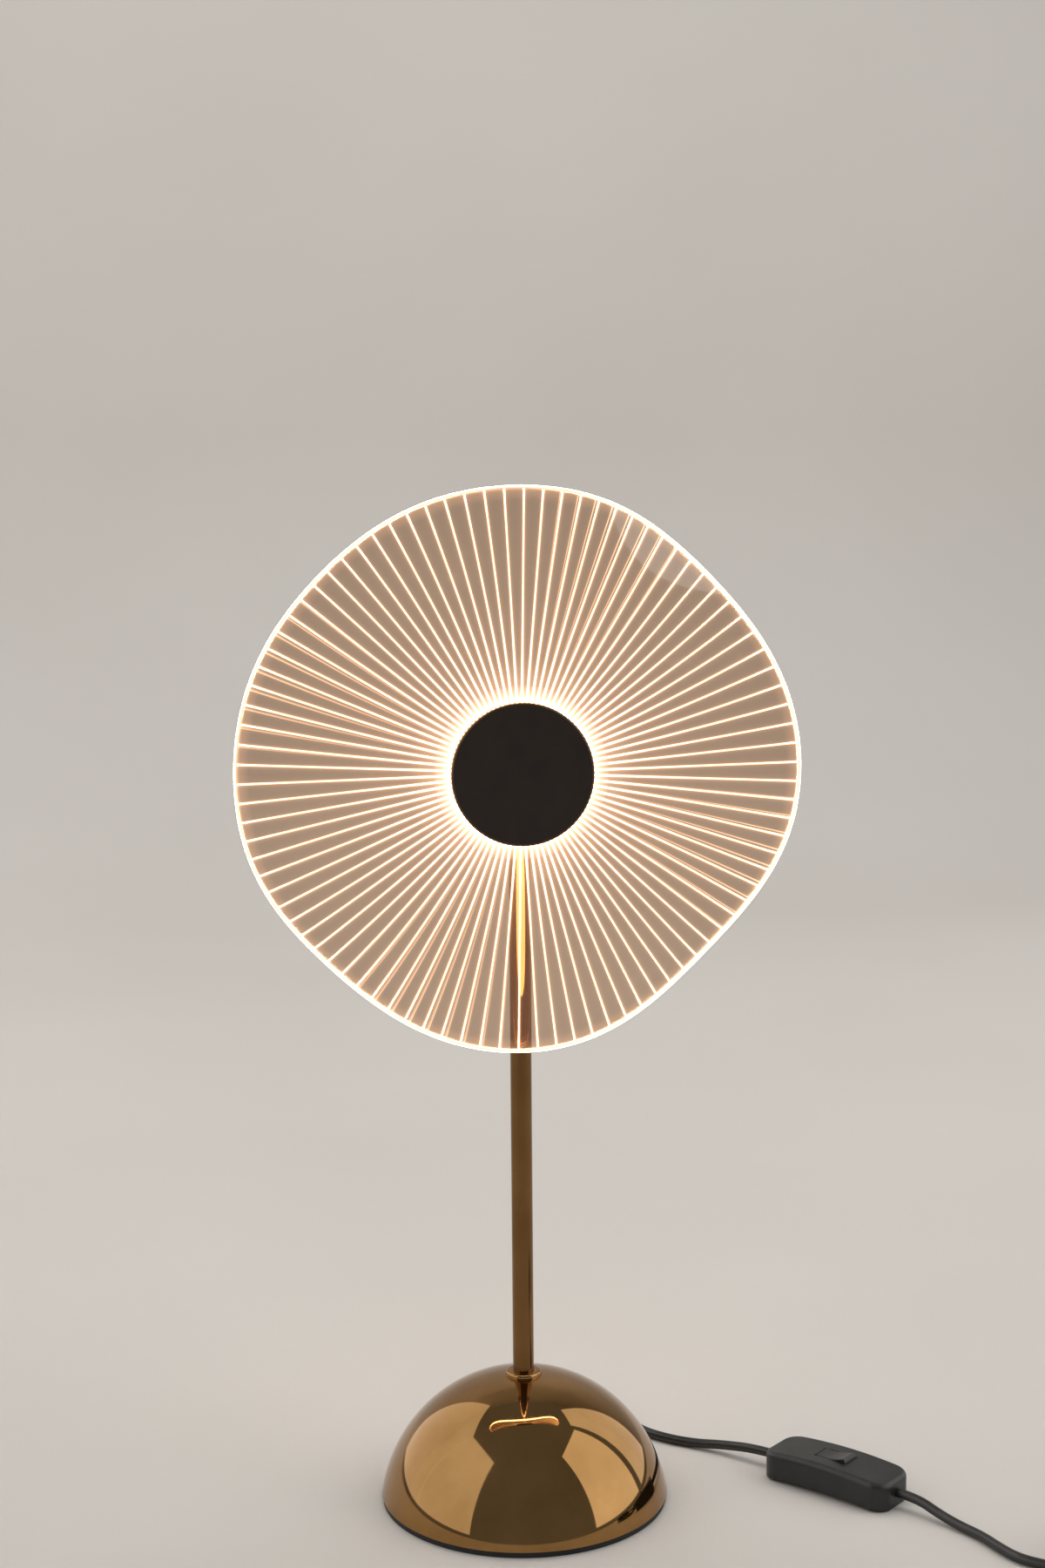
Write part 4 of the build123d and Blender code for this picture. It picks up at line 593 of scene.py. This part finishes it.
def cord_curve(name, route, material):
    """A round cord along a smooth line that has the route's points, in mm, as its control points."""
    data = bpy.data.curves.new(name, "CURVE")
    data.dimensions = "3D"
    data.bevel_depth = CORD / 2
    data.bevel_resolution = 6
    data.resolution_u = 8
    data.use_fill_caps = True
    spline = data.splines.new("NURBS")
    spline.points.add(len(route) - 1)
    for point, place in zip(spline.points, route):
        point.co = (*(coordinate * MM for coordinate in place), 1)
    spline.order_u = 3
    spline.use_endpoint_u = True
    data.materials.append(material)
    piece = bpy.data.objects.new(name, data)
    scene.collection.objects.link(piece)
    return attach(piece, "lamp")


def cord_pvc():
    """Black PVC sheath: a soft sheen, faint flats from the extruder and dust in it."""
    m = Nodes("cord_pvc")
    mottle = m.noise(6 * MM, 5, 0.6)
    dust = m.ramp(m.noise(0.9 * MM, 2, 0.5, seed=5.0), (0.68, 0.0), (0.8, 1.0))
    base = m.colours(m.math("ADD", m.math("MULTIPLY", dust, 0.4), m.math("MULTIPLY", mottle, 0.5)),
                     (0.1, (0.008, 0.0075, 0.007)), (0.7, (0.03, 0.027, 0.024)))
    m.bump(m.noise(1.4 * MM, 2, 0.5), 0.02 * MM, 0.4)
    return m.set(Base_Color=base, Roughness=m.span(mottle, 0.3, 0.7, 0.3, 0.42),
                 Coat_Weight=0.2, Coat_Roughness=0.2)


def build_cords():
    """The mains cord's two lengths; the second one has the coil in it."""
    pvc = cord_pvc()
    near = cord_curve("cord_lamp_to_switch", NEAR_ROUTE, pvc)
    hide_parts("cord_near")
    far = cord_curve("cord_switch_to_plug", FAR_ROUTE + coil_route() + END_ROUTE, pvc)
    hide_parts("cord_far", "cord_coil", "cord_end")


build_cords()

# ---------------------------------------------------------------- floor, backdrop and light

FLOOR_SIDE = 9.0
WALL_AWAY = 2.2
WALL_BEND = 0.6


def studio_paper():
    """Pale, warm grey paper."""
    m = Nodes("studio_paper")
    tone = m.colours(m.noise(0.5, 3, 0.5), (0.3, (0.61, 0.575, 0.53)), (0.7, (0.64, 0.605, 0.56)))
    return m.set(Base_Color=tone, Roughness=0.8, Specular_IOR_Level=0.2)


def build_stage():
    """One pale sheet of studio paper: the floor, a wide bend and the wall behind."""
    half = FLOOR_SIDE / 2
    bend_steps = 16
    profile = [(-half, 0.0)]
    for i in range(bend_steps + 1):
        turn = pi / 2 * i / bend_steps
        profile.append((WALL_AWAY - WALL_BEND + WALL_BEND * sin(turn), WALL_BEND - WALL_BEND * cos(turn)))
    profile.append((WALL_AWAY, half))
    points = [Vector((x, y, z)) for x in (-half, half) for y, z in profile]
    count = len(profile)
    faces = [(i, i + 1, count + i + 1, count + i) for i in range(count - 1)]
    mesh_piece("studio_paper", points, faces, [studio_paper()])


def soft_light(name, place, target, wide, high, power, colour=(1, 1, 1)):
    """A flat lamp at place that faces target; power is in watts."""
    data = bpy.data.lights.new(name, "AREA")
    data.shape = "RECTANGLE"
    data.size = wide
    data.size_y = high
    data.energy = power
    data.color = colour
    light = bpy.data.objects.new(name, data)
    light.location = place
    light.rotation_euler = (Vector(target) - Vector(place)).to_track_quat("-Z", "Y").to_euler()
    scene.collection.objects.link(light)
    return light


WORLD_COLOUR = (0.93, 0.95, 1.0, 1)
WORLD_STRENGTH = 0.24
BOX_AWAY = 2.3
BOX_MIDDLE = 1.95
BOX_HIGH = 3.7
SOFTBOXES = [  # name, degrees round to the right of the camera's side, width in metres, watts
    ("far_left_box", -129, 2.3, 28),
    ("left_box", -76, 2.3, 28),
    ("right_box", 74, 2.1, 36),
    ("far_right_box", 117, 1.05, 15),
]
TOP_PLACE = (0.2, 0.9, 2.7)
TOP_TARGET = (0, 0.2, 0)
TOP_SIZE = (2.4, 1.2)
TOP_WATTS = 24
SPILL_BEHIND = 3.5 * MM  # from the sheet's middle, between it and the pole
SPILL_BELOW = 38 * MM    # from the hub's edge
SPILL_SIZE = (12 * MM, 84 * MM)
SPILL_WATTS = 0.04
SPILL_COLOUR = (1.0, 0.88, 0.72)


def build_light():
    """Plain, soft light from tall boxes and from above, and the LEDs' spill on the pole."""
    world = bpy.data.worlds.new("studio")
    scene.world = world
    world.use_nodes = True
    background = world.node_tree.nodes["Background"]
    background.inputs["Color"].default_value = WORLD_COLOUR
    background.inputs["Strength"].default_value = WORLD_STRENGTH
    for name, azimuth, wide, power in SOFTBOXES:
        away = radians(azimuth)
        place = (BOX_AWAY * sin(away), -BOX_AWAY * cos(away), BOX_MIDDLE)
        soft_light(name, place, (0, 0, BOX_MIDDLE), wide, BOX_HIGH, power)
    spot = HUB_CENTRE + Vector((0, SPILL_BEHIND, -HUB_RADIUS - SPILL_BELOW))
    toward_pole = spot + Vector((0, 1, 0))
    spill = soft_light("led_spill", spot, toward_pole, *SPILL_SIZE, SPILL_WATTS, SPILL_COLOUR)
    spill.data.shape = "ELLIPSE"
    spill.visible_camera = spill.visible_transmission = False
    top = soft_light("top_box", TOP_PLACE, TOP_TARGET, *TOP_SIZE, TOP_WATTS)
    top.visible_glossy = False


build_stage()
build_light()
scene.view_settings.view_transform = "Standard"
